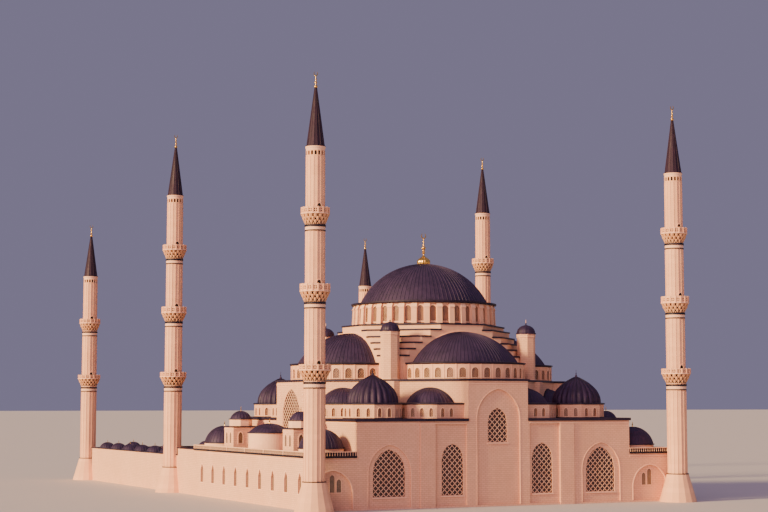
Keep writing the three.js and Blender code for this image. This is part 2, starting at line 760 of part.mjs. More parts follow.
function mainDrum() {
  const foot = DRUM_FOOT + GAP;
  const pitch = (2 * Math.PI) / DRUM_BAYS;
  const plan = [];
  for (let bay = 0; bay < DRUM_BAYS; bay++) {
    const angle = (bay + 0.5) * pitch;
    const corners = [
      [DRUM_WALL, -1],
      [DRUM_PIER, -1],
      [DRUM_PIER, 1],
      [DRUM_WALL, 1],
    ];
    for (const [radius, side] of corners) {
      const corner = new THREE.Vector2(radius, side * DRUM_PIER_HALF);
      corner.rotateAround(new THREE.Vector2(), angle);
      plan.push([corner.x, corner.y]);
    }
  }
  const toothed = raised(plan, foot, DRUM_TOP);
  const windowOutline = archOutline(0, DRUM_WINDOW_HALF, DRUM_SILL, DRUM_WINDOW_SPRING, DRUM_WINDOW_TOP, 1);
  const windowCut = upright(windowOutline, -DRUM_PIER - 1, -DRUM_INNER + 1);
  const cutters = [post(DRUM_INNER, foot - 1, DRUM_TOP + 1, DRUM_BAYS)];
  for (let bay = 0; bay < DRUM_BAYS; bay++) cutters.push(placed(windowCut, bay * pitch, 0, 0));
  return without(toothed, cutters);
}

function mainDome() {
  const foot = DRUM_TOP + GAP;
  const steps = 5;
  const outer = domeSection(DOME_RADIUS, foot, DOME_APEX, steps);
  const inner = domeSection(DOME_RADIUS - DOME_SHELL, foot, DOME_APEX - DOME_SHELL, steps - 2);
  outer.splice(steps, 1, [DOME_FLAT, DOME_APEX - DOME_CUT], [0, DOME_APEX - DOME_CUT]);
  return turned([...outer, ...inner.reverse(), outer[0]], 24);
}

// The finial is a row of balls on one stem: radii and heights over its foot.
const FINIAL_PROFILE = [
  [1.5, 0],
  [1.8, 0.7],
  [1.35, 1.6],
  [0.4, 2.1],
  [0.7, 3.0],
  [0.3, 3.9],
  [0.5, 4.6],
  [0.15, 5.4],
  [0.5, 6.3],
  [0.5, 8.0],
];
const FINIAL_TOP = 73.9;

function mainFinial() {
  const foot = DOME_APEX - DOME_CUT + GAP;
  const balls = FINIAL_PROFILE.map(([radius, height]) => [radius, foot + height]);
  const tip = [
    [0.05, FINIAL_TOP],
    [0, FINIAL_TOP],
  ];
  return turned([[0, foot], ...balls, ...tip], 10);
}

// Half drums and half domes, in the front position: the gable wall is beyond y = 0

const halfPlane = () => block(-DEEP, DEEP, -DEEP, HALF_DOME_CENTRE - GABLE_PLANE - GAP, 0, DEEP);

function halfDrum() {
  const foot = UPPER_DECK_TOP + GAP;
  const lip = 0.4;
  const ring = turned(
    [
      [ARM_HALF, foot],
      [HALF_DRUM_OUTER, foot],
      [HALF_DRUM_OUTER, HALF_DRUM_TOP - lip],
      [HALF_DRUM_CORNICE, HALF_DRUM_TOP - lip],
      [HALF_DRUM_CORNICE, HALF_DRUM_TOP],
      [ARM_HALF, HALF_DRUM_TOP],
      [ARM_HALF, foot],
    ],
    2 * HALF_DRUM_WINDOWS,
  );
  const spring = HALF_DRUM_WINDOW_TOP - HALF_DRUM_WINDOW_HALF;
  const points = archOutline(0, HALF_DRUM_WINDOW_HALF, HALF_DRUM_SILL, spring, HALF_DRUM_WINDOW_TOP, 1);
  const windowCut = upright(points, -HALF_DRUM_CORNICE - 1, -ARM_HALF + 1);
  const cutters = [];
  for (let i = 0; i < HALF_DRUM_WINDOWS; i++) {
    const angle = (i - (HALF_DRUM_WINDOWS - 1) / 2) * HALF_DRUM_PITCH;
    cutters.push(placed(windowCut, angle, 0, 0));
  }
  const shifted = placed(ring, HALF_DRUM_PITCH / 2, 0, 0);
  return without(shifted.intersect(halfPlane()), cutters);
}

function halfDome() {
  const foot = HALF_DRUM_TOP + GAP;
  return domeShell(HALF_DOME_RADIUS, foot, HALF_DOME_APEX, HALF_DOME_SHELL, 4, 20).intersect(halfPlane());
}

// Side galleries

const GALLERY_DOMES = [
  { y: -34, radius: 6.1, rim: 15.1, apex: 19.8 },
  { y: 0, radius: 6.1, rim: 18.4, apex: 20.8 },
  { y: 34, radius: 6.1, rim: 15.1, apex: 19.8 },
];
const PAVILIONS = [-21.2, 21.2];
const PAVILION_HALF = 3.5;
const PAVILION_TOP = 19.7;
const PAVILION_DOME = { rim: 2.0, rise: 4.3 };
const ROOF_LEDGE = 0.4; // between a small dome's foot and the edge of what it stands on
const GALLERY_WINDOWS = 9;
const GALLERY_WINDOW = { half: 1.1, sill: 4.0, spring: 7.4, apex: 9.2, pitch: 8.8 };

// A low dome with a drum, hollow and open below, standing on a deck.
function smallDome(radius, deck, rim, apex, sides) {
  const thickness = 0.4;
  const ring = 0.3;
  const outer = domeSection(radius, rim, apex, 3);
  const inner = domeSection(radius - thickness, rim, apex - thickness, 2);
  const drum = [
    [radius - thickness, deck - FUSE],
    [radius + ring, deck - FUSE],
    [radius + ring, rim],
  ];
  return turned([...drum, ...outer, ...inner.reverse(), drum[0]], sides);
}

// A low dome with a drum, solid, for the many small ones.
function solidDome(radius, deck, rim, apex, sides) {
  const foot = deck - FUSE;
  return turned([[0, foot], [radius, foot], ...domeSection(radius, rim, apex, 2)], sides);
}

// Floor, outside wall, end walls, deck and parapet of a wing on the left, open towards the hall.
function gallery() {
  const x0 = -WING_HALF_X;
  const x1 = -HALL_HALF_X - GAP;
  const y0 = -HALL_HALF_Y;
  const y1 = HALL_HALF_Y;
  const middle = (x0 + x1) / 2;
  const shell = block(x0, x1, y0, y1, 0, WING_DECK_TOP).subtract(
    block(x0 + WING_WALL, x1 + 1, y0 + WING_WALL, y1 - WING_WALL, FLOOR_TOP, WING_EAVES),
  );
  const inner = WING_PARAPET;
  const parapet = block(x0, x1, y0, y1, WING_DECK_TOP - FUSE, WING_PARAPET_TOP).subtract(
    block(x0 + inner, x1 + 1, y0 + inner, y1 - inner, WING_DECK_TOP - 1, WING_PARAPET_TOP + 1),
  );
  const bodies = [shell, parapet];
  const cutters = [];
  for (const { y, radius, rim, apex } of GALLERY_DOMES) {
    const reach = Math.min(radius, (x1 - x0) / 2 - WING_PARAPET - ROOF_LEDGE);
    bodies.push(placed(solidDome(reach, WING_DECK_TOP, rim, apex, 12), 0, middle, y));
  }
  for (const y of PAVILIONS) {
    const half = PAVILION_HALF;
    const low = WING_DECK_TOP - FUSE;
    const rim = PAVILION_TOP + PAVILION_DOME.rim;
    const apex = PAVILION_TOP + PAVILION_DOME.rise;
    const dome = solidDome(half - ROOF_LEDGE, PAVILION_TOP, rim, apex, 8);
    bodies.push(block(middle - half, middle + half, y - half, y + half, low, PAVILION_TOP));
    bodies.push(placed(dome, 0, middle, y));
  }
  const { half, sill, spring, apex, pitch } = GALLERY_WINDOW;
  const opening = upright(archOutline(0, half, sill, spring, apex, 1), -1, WING_WALL + 1);
  for (let i = 0; i < GALLERY_WINDOWS; i++) {
    const y = (i - (GALLERY_WINDOWS - 1) / 2) * pitch;
    cutters.push(placed(opening, -QUARTER_TURN, x0, y));
  }
  cutters.push(...frontBayCuts(y0));
  cutters.push(minaretNotch(-MINARET_X, FRONT_MINARET_Y));
  return without(joined(bodies), cutters);
}

// The blind arch and the two slit windows at the front end of a wing.
const BAY_BLIND = { centre: -46.6, half: 5.5, sill: FLOOR_TOP, spring: 4.0, apex: 9.9, depth: 0.35 };
const BAY_SLITS = [
  { centre: -46.6, half: 0.55, sill: 4.6, spring: 7.9, apex: 8.6 },
  { centre: -44.8, half: 0.5, sill: 4.6, spring: 6.9, apex: 7.56 },
];

function frontBayCuts(face) {
  const cut = ({ centre, half, sill, spring, apex }, steps, depth) =>
    upright(archOutline(centre, half, sill, spring, apex, steps), face - 1, face + depth);
  return [cut(BAY_BLIND, 3, BAY_BLIND.depth), ...BAY_SLITS.map((slit) => cut(slit, 1, WING_WALL + 1))];
}

// Narthex between the hall and the forecourt
const NARTHEX_BAYS = 7;
const NARTHEX_DOME = { radius: 5.0, pitch: 14, rim: 1.0, rise: 4.4 };
const NARTHEX_ARCH = { half: 4.6, spring: 5.4, apex: 10.4, pitch: 12.6 };

function narthex() {
  const y0 = HALL_HALF_Y + GAP;
  const y1 = NARTHEX_END;
  const x = WING_HALF_X;
  const shell = block(-x, x, y0, y1, 0, WING_DECK_TOP).subtract(
    block(-x + WING_WALL, x - WING_WALL, y0 - 1, y1 - WING_WALL, FLOOR_TOP, WING_EAVES),
  );
  const bodies = [shell];
  const cutters = [];
  const middle = (y0 + y1) / 2;
  const { radius, pitch, rim, rise } = NARTHEX_DOME;
  const dome = solidDome(radius, WING_DECK_TOP, WING_DECK_TOP + rim, WING_DECK_TOP + rise, 10);
  const arch = NARTHEX_ARCH;
  for (let bay = 0; bay < NARTHEX_BAYS; bay++) {
    const place = bay - (NARTHEX_BAYS - 1) / 2;
    bodies.push(placed(dome, 0, place * pitch, middle));
    const opening = archOutline(place * arch.pitch, arch.half, COURT_FLOOR, arch.spring, arch.apex, 2);
    cutters.push(upright(opening, y1 - WING_WALL - 1, y1 + 1));
  }
  cutters.push(minaretNotch(-MINARET_X, MIDDLE_MINARET_Y), minaretNotch(MINARET_X, MIDDLE_MINARET_Y));
  return without(joined(bodies), cutters);
}

// Forecourt arcades: floor, outside wall, deck with small domes, and arches on the court side.
// The arcade runs along x with its outside face on y = 0 and its arches on y = ARCADE_DEPTH.
const ARCADE_WALL = 1.0;
const ARCADE_ARCH = { spring: 4.4, share: 0.4 };
const ARCADE_DOME = { radius: 2.7, rim: 10.6, apex: 12.9 };

function arcade(length, bays) {
  const wall = ARCADE_WALL;
  const room = block(wall, length - wall, wall, ARCADE_DEPTH - wall, COURT_FLOOR, ARCADE_EAVES);
  const shell = block(0, length, 0, ARCADE_DEPTH, 0, ARCADE_DECK_TOP).subtract(room);
  const parapet = block(0, length, 0, WING_PARAPET, ARCADE_DECK_TOP - FUSE, ARCADE_PARAPET_TOP);
  const bodies = [shell, parapet];
  const cutters = [];
  const pitch = length / bays;
  const { radius, rim, apex } = ARCADE_DOME;
  const cap = solidDome(radius, ARCADE_DECK_TOP, rim, apex, 8);
  for (let bay = 0; bay < bays; bay++) {
    const centre = (bay + 0.5) * pitch;
    bodies.push(placed(cap, 0, centre, ARCADE_DEPTH / 2));
    const half = pitch * ARCADE_ARCH.share;
    const spring = ARCADE_ARCH.spring;
    const opening = archOutline(centre, half, COURT_FLOOR, spring, spring + half, 2);
    cutters.push(upright(opening, ARCADE_DEPTH - ARCADE_WALL - FUSE, ARCADE_DEPTH + 1));
  }
  return without(joined(bodies), cutters);
}

function sideArcade() {
  const run = arcade(COURT_END - NARTHEX_END - GAP, 7);
  const placedRun = placed(run, -QUARTER_TURN, -WING_HALF_X, COURT_END);
  const notches = [MIDDLE_MINARET_Y, REAR_MINARET_Y].map((y) => minaretNotch(-MINARET_X, y));
  return without(placedRun, notches);
}

// The rear arcade runs between the side arcades, and its middle is left for the portal.
function rearArcade() {
  const half = WING_HALF_X - ARCADE_DEPTH - GAP;
  const run = arcade(half - PORTAL_HALF - GAP, 3);
  return placed(run, Math.PI, half, COURT_END);
}

// The portal tower in the middle of the rear arcade, with a niche outside and a doorway through.
const PORTAL_REACH = 1.2;
const PORTAL_WALL = 1.5;
const PORTAL_NICHE = { half: 3.6, spring: 7.6, apex: 12.6, depth: 1.0 };
const PORTAL_DOOR = { half: 2.2, spring: 4.4, apex: 7.0 };
const PORTAL_DOME = { radius: 4.2, rim: 0.8, rise: 3.6 };

function portal() {
  const y0 = COURT_END - ARCADE_DEPTH;
  const y1 = COURT_END + PORTAL_REACH;
  const half = PORTAL_HALF;
  const tower = block(-half, half, y0, y1, 0, PORTAL_TOP);
  const innerHalf = half - PORTAL_WALL;
  const back = y1 - PORTAL_WALL - PORTAL_NICHE.depth;
  const room = block(-innerHalf, innerHalf, y0 + PORTAL_WALL, back, COURT_FLOOR, PORTAL_TOP - PORTAL_WALL);
  const archway = ({ spring, apex, ...arch }, steps, from) =>
    upright(archOutline(0, arch.half, COURT_FLOOR, spring, apex, steps), from, y1 + 1);
  const niche = archway(PORTAL_NICHE, 4, y1 - PORTAL_NICHE.depth);
  const doorway = archway(PORTAL_DOOR, 3, y0 - 1);
  const { radius, rim, rise } = PORTAL_DOME;
  const dome = smallDome(radius, PORTAL_TOP, PORTAL_TOP + rim, PORTAL_TOP + rise, 10);
  const middle = (y0 + y1) / 2;
  const wellRadius = radius - 3 * FUSE;
  const well = placed(post(wellRadius, PORTAL_TOP - PORTAL_WALL - 1, PORTAL_TOP + FUSE, 10), 0, 0, middle);
  return without(tower, [room, niche, doorway, well]).add(placed(dome, 0, 0, middle));
}

function courtFloor() {
  const half = WING_HALF_X - ARCADE_DEPTH - GAP;
  return block(-half, half, NARTHEX_END + GAP, COURT_END - ARCADE_DEPTH - GAP, 0, COURT_FLOOR);
}

// The assembly

const mosque = new THREE.Group();

function add(name, body, material, place = {}) {
  const mesh = new THREE.Mesh(geometryOf(body), material);
  mesh.name = name;
  mesh.position.set(place.x ?? 0, place.y ?? 0, 0);
  mesh.rotation.z = place.turn ?? 0;
  mesh.scale.set(place.flipX ? -1 : 1, place.flipY ? -1 : 1, 1);
  mosque.add(mesh);
}

const SIDES = [
  { side: "left", sign: -1 },
  { side: "right", sign: 1 },
];
const FOUR_WAYS = [
  { way: "front", turn: 0, dx: 0, dy: -1 },
  { way: "right", turn: QUARTER_TURN, dx: 1, dy: 0 },
  { way: "rear", turn: 2 * QUARTER_TURN, dx: 0, dy: 1 },
  { way: "left", turn: -QUARTER_TURN, dx: -1, dy: 0 },
];
const CORNERS = [
  { corner: "front_left", flipX: false, flipY: false },
  { corner: "front_right", flipX: true, flipY: false },
  { corner: "rear_left", flipX: false, flipY: true },
  { corner: "rear_right", flipX: true, flipY: true },
];
const MINARETS = [
  { row: "front", y: FRONT_MINARET_Y, kind: TALL_MINARET },
  { row: "middle", y: MIDDLE_MINARET_Y, kind: TALL_MINARET },
  { row: "rear", y: REAR_MINARET_Y, kind: LOW_MINARET },
];

for (const { row, y, kind } of MINARETS) {
  const shaft = minaretShaft(kind);
  const cap = minaretCap(kind);
  for (const { side, sign } of SIDES) {
    const place = { x: sign * MINARET_X, y };
    add(`minaret_${row}_${side}`, shaft, stone, place);
    add(`minaret_cap_${row}_${side}`, cap, lead, place);
  }
}

add("main_drum", mainDrum(), stone);
add("main_dome", mainDome(), lead);
add("main_finial", mainFinial(), gilt);
add("great_arches", greatArches(), stone);
add("upper_roof", upperRoof(), lead);
add("hall_floor", hallFloor(), stone);

const drumPiece = halfDrum();
const domePiece = halfDome();
for (const { way, turn, dx, dy } of FOUR_WAYS) {
  const place = { x: dx * HALF_DOME_CENTRE, y: dy * HALF_DOME_CENTRE, turn };
  add(`half_drum_${way}`, drumPiece, stone, place);
  add(`half_dome_${way}`, domePiece, lead, place);
}

const towerPiece = weightTower();
const diagonalPiece = diagonalWall();
const cornerPiece = cornerDome();
for (const { corner, flipX, flipY } of CORNERS) {
  const place = { x: (flipX ? 1 : -1) * TOWER_CENTRE, y: (flipY ? 1 : -1) * TOWER_CENTRE };
  add(`weight_tower_${corner}`, towerPiece, stone, place);
  add(`diagonal_wall_${corner}`, diagonalPiece, stone, { flipX, flipY });
  add(`corner_dome_${corner}`, cornerPiece, lead, { flipX, flipY });
}

add("front_wall", longWall(false), stone, { y: -HALL_HALF_Y });
add("rear_wall", longWall(true), stone, { y: HALL_HALF_Y, turn: Math.PI });
add("front_glass", longGlass(), glass, { y: -HALL_HALF_Y });
add("rear_glass", longGlass(), glass, { y: HALL_HALF_Y, turn: Math.PI });
const sideWallPiece = sideWall();
const sideGlassPiece = sideGlass();
const galleryPiece = gallery();
const sideArcadePiece = sideArcade();
for (const { side, sign } of SIDES) {
  const place = { x: sign * HALL_HALF_X, turn: sign * QUARTER_TURN };
  add(`${side}_wall`, sideWallPiece, stone, place);
  add(`${side}_glass`, sideGlassPiece, glass, place);
  add(`${side}_gallery`, galleryPiece, stone, { flipX: sign > 0 });
  add(`${side}_arcade`, sideArcadePiece, stone, { flipX: sign > 0 });
}
add("narthex", narthex(), stone);
const rearArcadePiece = rearArcade();
add("rear_arcade_right", rearArcadePiece, stone);
add("rear_arcade_left", rearArcadePiece, stone, { flipX: true });
add("portal", portal(), stone);
add("court_floor", courtFloor(), stone);

mosque.scale.setScalar(MODEL_MM_PER_METRE);

export default mosque;
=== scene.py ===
"""Looks of the domed mosque: smooth leaded domes, arched drums, minarets, lattices and finishes."""

import functools
import math

import bmesh
import bpy
from mathutils import Matrix, Vector
from mathutils.geometry import tessellate_polygon


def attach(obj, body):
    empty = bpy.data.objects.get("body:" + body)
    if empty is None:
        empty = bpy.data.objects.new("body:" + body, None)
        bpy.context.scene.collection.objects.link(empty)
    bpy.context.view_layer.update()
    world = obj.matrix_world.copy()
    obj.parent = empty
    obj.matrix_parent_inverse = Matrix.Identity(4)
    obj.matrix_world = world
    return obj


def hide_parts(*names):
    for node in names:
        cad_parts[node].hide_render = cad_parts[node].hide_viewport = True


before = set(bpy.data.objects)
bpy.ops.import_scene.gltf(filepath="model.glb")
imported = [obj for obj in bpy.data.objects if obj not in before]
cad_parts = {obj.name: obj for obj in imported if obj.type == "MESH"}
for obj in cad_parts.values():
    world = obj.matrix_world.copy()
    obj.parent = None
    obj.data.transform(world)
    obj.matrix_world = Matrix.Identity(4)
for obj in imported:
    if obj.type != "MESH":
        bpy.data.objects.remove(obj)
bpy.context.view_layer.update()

bl_info = {
    "name": "Domed mosque",
    "version": (1, 0, 0),
    "blender": (4, 5, 0),
    "location": "3D View > Sidebar > Mosque",
    "description": "Builds the domes, drums, minarets, lattices and finishes of a domed mosque",
    "category": "Object",
}

# Lengths in this file are metres of the real building; a finished mesh is scaled to the model.
# Windows and other arches are given as half width, sill, springing and apex.
# Mouldings are profiles of distance out and height.
MODEL_SCALE = 0.1
TURN = 2 * math.pi
QUARTER = math.pi / 2
WELD = 0.0005
TINY = 1e-6
FAR = 1e9
BODY = "root"
SMOOTH_BELOW = math.radians(32)

# Hall and roofs
HALL_X = 40.15
HALL_Y = 41.5
HALL_WALL = 2.4
EAVES = 21.9
DECK_TOP = 22.3
CORNICE_REACH = 0.3
DIAGONAL_SUM = 46.0
UPPER_WALL = 1.5
UPPER_TOP = 31.9
UPPER_DECK = 32.3
END_X = 8.8
END_Y = 10.15
GABLE = 22.1
STEPS = [(17.5, 38.7), (16.0, 40.5), (14.1, 42.2), (12.1, 43.9), (9.5, 45.75), (6.4, 47.3)]
COPING_LIP = 0.22
COPING_DROP = 0.16
COPING_RISE = 0.24
GREAT_ARCH = {"centre": 29.95, "radius": 15.35, "half": 14.4, "proud": 0.12}
EAVES_FASCIA = [(-0.35, 21.62), (0.0, 21.62), (0.08, 21.75), (0.08, 22.34), (-0.35, 22.34)]
UPPER_FASCIA = [(-0.35, 31.88), (0.0, 31.88), (0.08, 31.96), (0.08, 32.36), (-0.5, 32.42), (-0.5, 32.3)]

# Hall windows and recesses, each with its middle first. A window ends with the depth of its lattice,
# a recess with the number of steps in its arch.
FRONT_WINDOWS = [(0, 2.87, 16.2, 21.4, 25.0, 0.75)]
FRONT_WINDOWS += [(-13.2, 3.1, 3.0, 12.2, 16.0, 0.7), (-31.1, 4.46, 3.0, 9.4, 14.8, 0.6)]
FRONT_WINDOWS += [(13.2, 3.1, 3.0, 12.2, 16.0, 0.7), (31.1, 4.46, 3.0, 9.4, 14.8, 0.6)]
FRONT_RECESSES = [(0, 6.4, 0.5, 22.3, 30.0, 12)]
FRONT_RECESSES += [(-31.1, 5.97, 0.5, 8.9, 16.0, 10), (31.1, 5.97, 0.5, 8.9, 16.0, 10)]
SIDE_WINDOWS = [(0, 5.85, 19.5, 22.6, 30.0, 0.2)]
LATTICE_DEPTH = 0.1
LATTICE_RIM_DEPTH = 0.12
PANE_BEHIND = (0.07, 0.14)
LEDGE_LIP = 0.3
LEDGE_DEPTHS = (-0.55, 0.1)
LEDGE_LEVELS = (-0.35, -0.05)
RECESS_BAR = 0.14
ARCH_BAR_MIDDLE = -0.02
PILASTER_NEAR = 18.4
PILASTER_FAR = 22.6
PILASTER_REACH = 0.3
BAY_EDGE = 9.27
HALL_MOULDING = [(-0.1, 20.95), (0.1, 21.0), (0.16, 21.12), (0.16, 21.22), (-0.1, 21.26)]
TOP_MOULDING = [(-0.1, 31.0), (0.1, 31.05), (0.16, 31.16), (0.16, 31.26), (-0.1, 31.3)]
RELIEF_MIDDLE = 7.9
RELIEF_DEPTHS = (-0.08, 0.1)
RELIEF_LEVELS = (27.1, 28.5)
RELIEF_DIAMOND = (0.5, 0.55)
RELIEF_DIAMOND_DEPTHS = (-0.07, 0.1)

# Main drum and dome
DRUM_FOOT = 47.3
DRUM_TOP = 53.7
DRUM_BAYS = 36
DRUM_WALL = 19.3
DRUM_INNER = 17.2
DRUM_PIER = 20.1
DRUM_WINDOW = (0.85, 48.3, 51.6, 52.5)
DRUM_CORNICE = [(-0.8, 53.15), (0.9, 53.25), (1.05, 53.45), (1.05, 53.72), (-1.5, 53.9), (-1.5, 53.15)]
DRUM_FLASHING = [(-0.6, 47.3), (0.2, 47.3), (0.2, 47.6), (-0.6, 47.85)]
PIER_HALF = 0.72
PIER_SECTION = [(19.0, 47.3), (20.2, 47.3), (19.95, 52.1), (19.65, 52.95), (19.0, 52.95)]
PIER_CAP_HALF = 0.8
PIER_CAP_SECTION = [(20.09, 51.98), (20.09, 52.2), (19.65, 53.15), (19.5, 52.95)]
PANE_DEPTH = 0.2
DRUM_SURROUND_DEPTHS = (-0.1, 0.2)
DRUM_PANE_DEPTHS = (-0.04, 0.04)
DRUM_NET_DEPTH = -0.09
DOME_RADIUS = 17.9
DOME_APEX = 65.1
DOME_SHELL = 0.5
DOME_RIM = [(-0.4, 0), (0.28, 0), (0.28, 0.32), (-0.4, 0.32)]

# Half domes
HALF_CENTRE = 22.15
HALF_DRUM_OUTER = 16.56
HALF_DRUM_INNER = 14.6
HALF_DRUM_TOP = 36.8
HALF_BAYS = 16
HALF_WINDOW = (0.87, 32.75, 34.53, 35.4)
HALF_SURROUND = (1.05, 32.62, 34.53, 35.58)
HALF_SURROUND_HOLE = (0.87, 32.77, 34.53, 35.4)
HALF_SURROUND_DEPTHS = (-0.09, 0.2)
HALF_CORNICE = [(-1.3, 36.25), (0.1, 36.3), (0.32, 36.5), (0.42, 36.62), (0.42, 36.82), (-1.9, 37.0)]
HALF_FLASHING = [(-0.5, 32.25), (0.16, 32.25), (0.16, 32.5), (-0.5, 32.62)]
HALF_PILASTER_TOP = 36.3
HALF_DOME_RADIUS = 14.9
HALF_DOME_APEX = 45.2
HALF_DOME_SHELL = 0.45

# Small half domes on the diagonal walls, each on the front part of an octagon, and corner domes
EXEDRA_ALONG = [12.0, -12.0]
EXEDRA_FACE = 3.93
EXEDRA_REACH = 6.94
EXEDRA_RIM = 26.1
EXEDRA_RADIUS = 6.35
EXEDRA_SETBACK = 0.8
EXEDRA_APEX = 30.1
EXEDRA_PITCH = 2.46
EXEDRA_SIDE_WINDOWS = (1.7, 4.16)
EXEDRA_SEAMS = 18
EXEDRA_SHEETS = {"thickness": 0.35, "seam_width": 0.16, "seam_height": 0.07}
EXEDRA_ROLL = 0.3
EXEDRA_EAVES = [(-1.2, 25.75), (0.06, 25.8), (0.3, 25.98), (0.3, 26.2), (-1.6, 26.35)]
BUTTRESS_ALONG = 0.55
BUTTRESS_HALF = 3.2
BUTTRESS_REACH = 1.2
SMALL_WINDOW = (0.5, 22.75, 24.3, 24.95)
SMALL_SURROUND_DEPTHS = (-0.08, 0.1)
SMALL_PANE_DEPTHS = (0.3, 0.36)
SMALL_NET_DEPTH = 0.26
SMALL_NET_PITCH = 0.5
SMALL_NET_BAR = 0.045
THIN_WALL = 1.0
CORNER_CENTRE = 30.6
CORNER_RADIUS = 7.5
CORNER_SIDES = 8
CORNER_PITCH = 2.66
CORNER_EAVES = [(-1.0, 25.75), (0.06, 25.8), (0.28, 25.98), (0.28, 26.2), (-1.2, 26.4)]
CORNER_FLASHING = [(-0.5, 22.25), (0.16, 22.25), (0.16, 22.45), (-0.5, 22.55)]
CORNER_SECTION = [(6.4, 26.1), (6.6, 26.3), (6.6, 26.9), (6.45, 27.8), (6.1, 28.7), (5.6, 29.6)]
CORNER_SECTION += [(4.95, 30.35), (4.2, 31.05), (3.4, 31.7), (2.5, 32.25), (1.6, 32.7), (0.8, 33.1)]
CORNER_SECTION += [(0.3, 33.4)]
CORNER_KNOB = [(0.26, 33.7), (0.08, 33.95), (0.16, 34.2), (0.06, 34.4), (0.04, 35.2), (0, 35.2)]
GORES = 24
GORE_DEPTH = 0.065

# Weight towers
TOWER_CENTRE = 20.8
TOWER_SIDES = 8
TOWER_CAP = [(0, 45.05), (2.75, 45.05), (2.75, 45.32), (2.52, 45.4), (2.47, 45.85), (2.25, 46.4), (1.8, 46.9)]
TOWER_CAP += [(1.15, 47.3), (0.5, 47.47), (0.12, 47.65), (0.2, 47.95), (0.06, 48.15), (0.05, 49.0), (0, 49.0)]
TOWER_RING_INSIDE = 2.2
TOWER_COLLAR = (TOWER_RING_INSIDE, 2.66, 44.12, 44.3)
TOWER_FOOT_RING = (TOWER_RING_INSIDE, 2.64, 32.3, 32.7)

# Side galleries
WING_X = 52.6
WING_DECK = 13.0
WING_PARAPET = 14.35
WING_MIDDLE = -(WING_X + HALL_X) / 2
WING_LEDGE = [(-0.2, 12.75), (0.24, 12.8), (0.36, 12.95), (0.36, 13.28), (-0.2, 13.34)]
WING_STRING = [(-0.1, 12.05), (0.14, 12.1), (0.14, 12.24), (-0.1, 12.28)]
WING_WINDOW_COUNT = 9
WING_WINDOW_PITCH = 8.8
WING_WINDOW_HOLE = (1.08, 4.02, 7.4, 9.15)
WING_WINDOW_PANE = (1.13, 3.97, 7.4, 9.23)
WING_WINDOW_FRAME = (1.4, 3.75, 7.4, 9.5)
WING_FRAME_DEPTHS = (-0.08, 0.05)
WING_PANE_DEPTHS = (0.5, 0.56)
WING_BLIND_MIDDLE = -46.6
WING_BLIND = (5.5, 0.5, 4.0, 9.9)
WING_BLIND_STEPS = 10
WING_SLITS = {0: (0.55, 4.6, 7.9, 8.61), 1.8: (0.5, 4.6, 6.9, 7.57)}
SLIT_GROWTH = (0.14, 0.12, 0.24)
SLIT_PANE_DEPTHS = (0.32, 0.45)
SLIT_FRAME_DEPTHS = (0.28, 0.4)

# Balustrades. A post is a profile of radius, share of its height and distance from there.
POST = [(0, 0, -0.05), (0.09, 0, -0.05), (0.1, 0.2, 0.1), (0.07, 0.45, 0)]
POST += [(0.09, 1, -0.24), (0.09, 1, -0.14), (0, 1, -0.14)]
STOUT_POST_SPACING = 20
STOUT_POST_HALF = 0.2
STOUT_POST_RISE = 0.08
POST_SIDES = 6
POST_LINE = -0.1
STOUT_POST_LINE = -0.12
RAIL_DEPTHS = (-0.3, 0.38)
RAIL_LEVELS = (-0.16, 0.02)
PARAPET_BACK_DEPTHS = (-0.03, 0.02)

# Narthex, arcades, portal and the decks on their roofs
NARTHEX_END = 56.3
COURT_END = 146.5
ARCADE_DEPTH = 7.0
ARCADE_DECK = 10.0
ARCADE_PARAPET = 11.0
PORTAL_HALF = 6.0
PORTAL_TOP = 15.0
PORTAL_PROUD = 1.2
COURT_BAYS = 7
NARTHEX_PITCH = 14.0
DECK_LEAD = 0.08
DECK_GAP = 0.1
DECK_EDGE = 0.4
DECK_EAVE = 0.3
ROOF_LIP = [(-0.5, -0.1), (0.22, -0.05), (0.3, 0.08), (0.3, 0.2), (-0.5, 0.26)]

# Domes on low roofs: radius, rim, apex and seams, with what their rims and spikes measure
GALLERY_DOME_RADIUS = 5.6
GALLERY_DOMES = [(-34.0, 15.1, 19.8), (0.0, 18.4, 20.8), (34.0, 15.1, 19.8)]
GALLERY_SEAMS = 36
GALLERY_STYLE = {"steps": 10, "sides": 48, "lap": 0.6, "lip": 0.3, "edge": 0.14, "spike": (1.6, 0.2)}
COURT_STYLE = {"steps": 8, "sides": 32, "lap": 0.5, "lip": 0.2, "edge": 0.1, "spike": (1.1, 0.12)}
NARTHEX_DOME = (5.12, 14.0, 17.5, 30)
ARCADE_DOME = (2.82, 10.6, 13.0, 20)
PORTAL_DOME = (4.62, 15.8, 18.75, 28)
COURT_SHEETS = 28
ROOF_SHEETS = {"thickness": 0.3, "seam_width": 0.14, "seam_height": 0.06}

# Pavilions on the galleries: square, with a low dome on an eight-sided drum
PAVILIONS = [-21.2, 21.2]
PAVILION_HALF = 3.5
PAVILION_TOP = 19.7
PAVILION_DRUM = 3.15
PAVILION_RIM = 21.85
PAVILION_APEX = 24.05
PAVILION_DOME = 2.95
PAVILION_SEAMS = 20
PAVILION_LIP = 0.3
PAVILION_EAVES = (19.6, 19.92)
PAVILION_RING = (2.2, 3.4, 21.71, 21.95)
PAVILION_SPIKE = (1.5, 0.16)
PAVILION_SIDES = 8
PAVILION_WINDOW = (0.62, 15.2, 17.2, 18.3)
PAVILION_FRAME = (0.85, 15.0, 17.2, 18.6)
PAVILION_WINDOW_OFFSETS = (-1.4, 1.4)
PAVILION_FRAME_DEPTHS = (-0.1, 0.05)
PAVILION_PANE_DEPTHS = (-0.03, 0.02)
PAVILION_STRING = [(-0.1, 18.95), (0.12, 19.0), (0.12, 19.15), (-0.1, 19.2)]

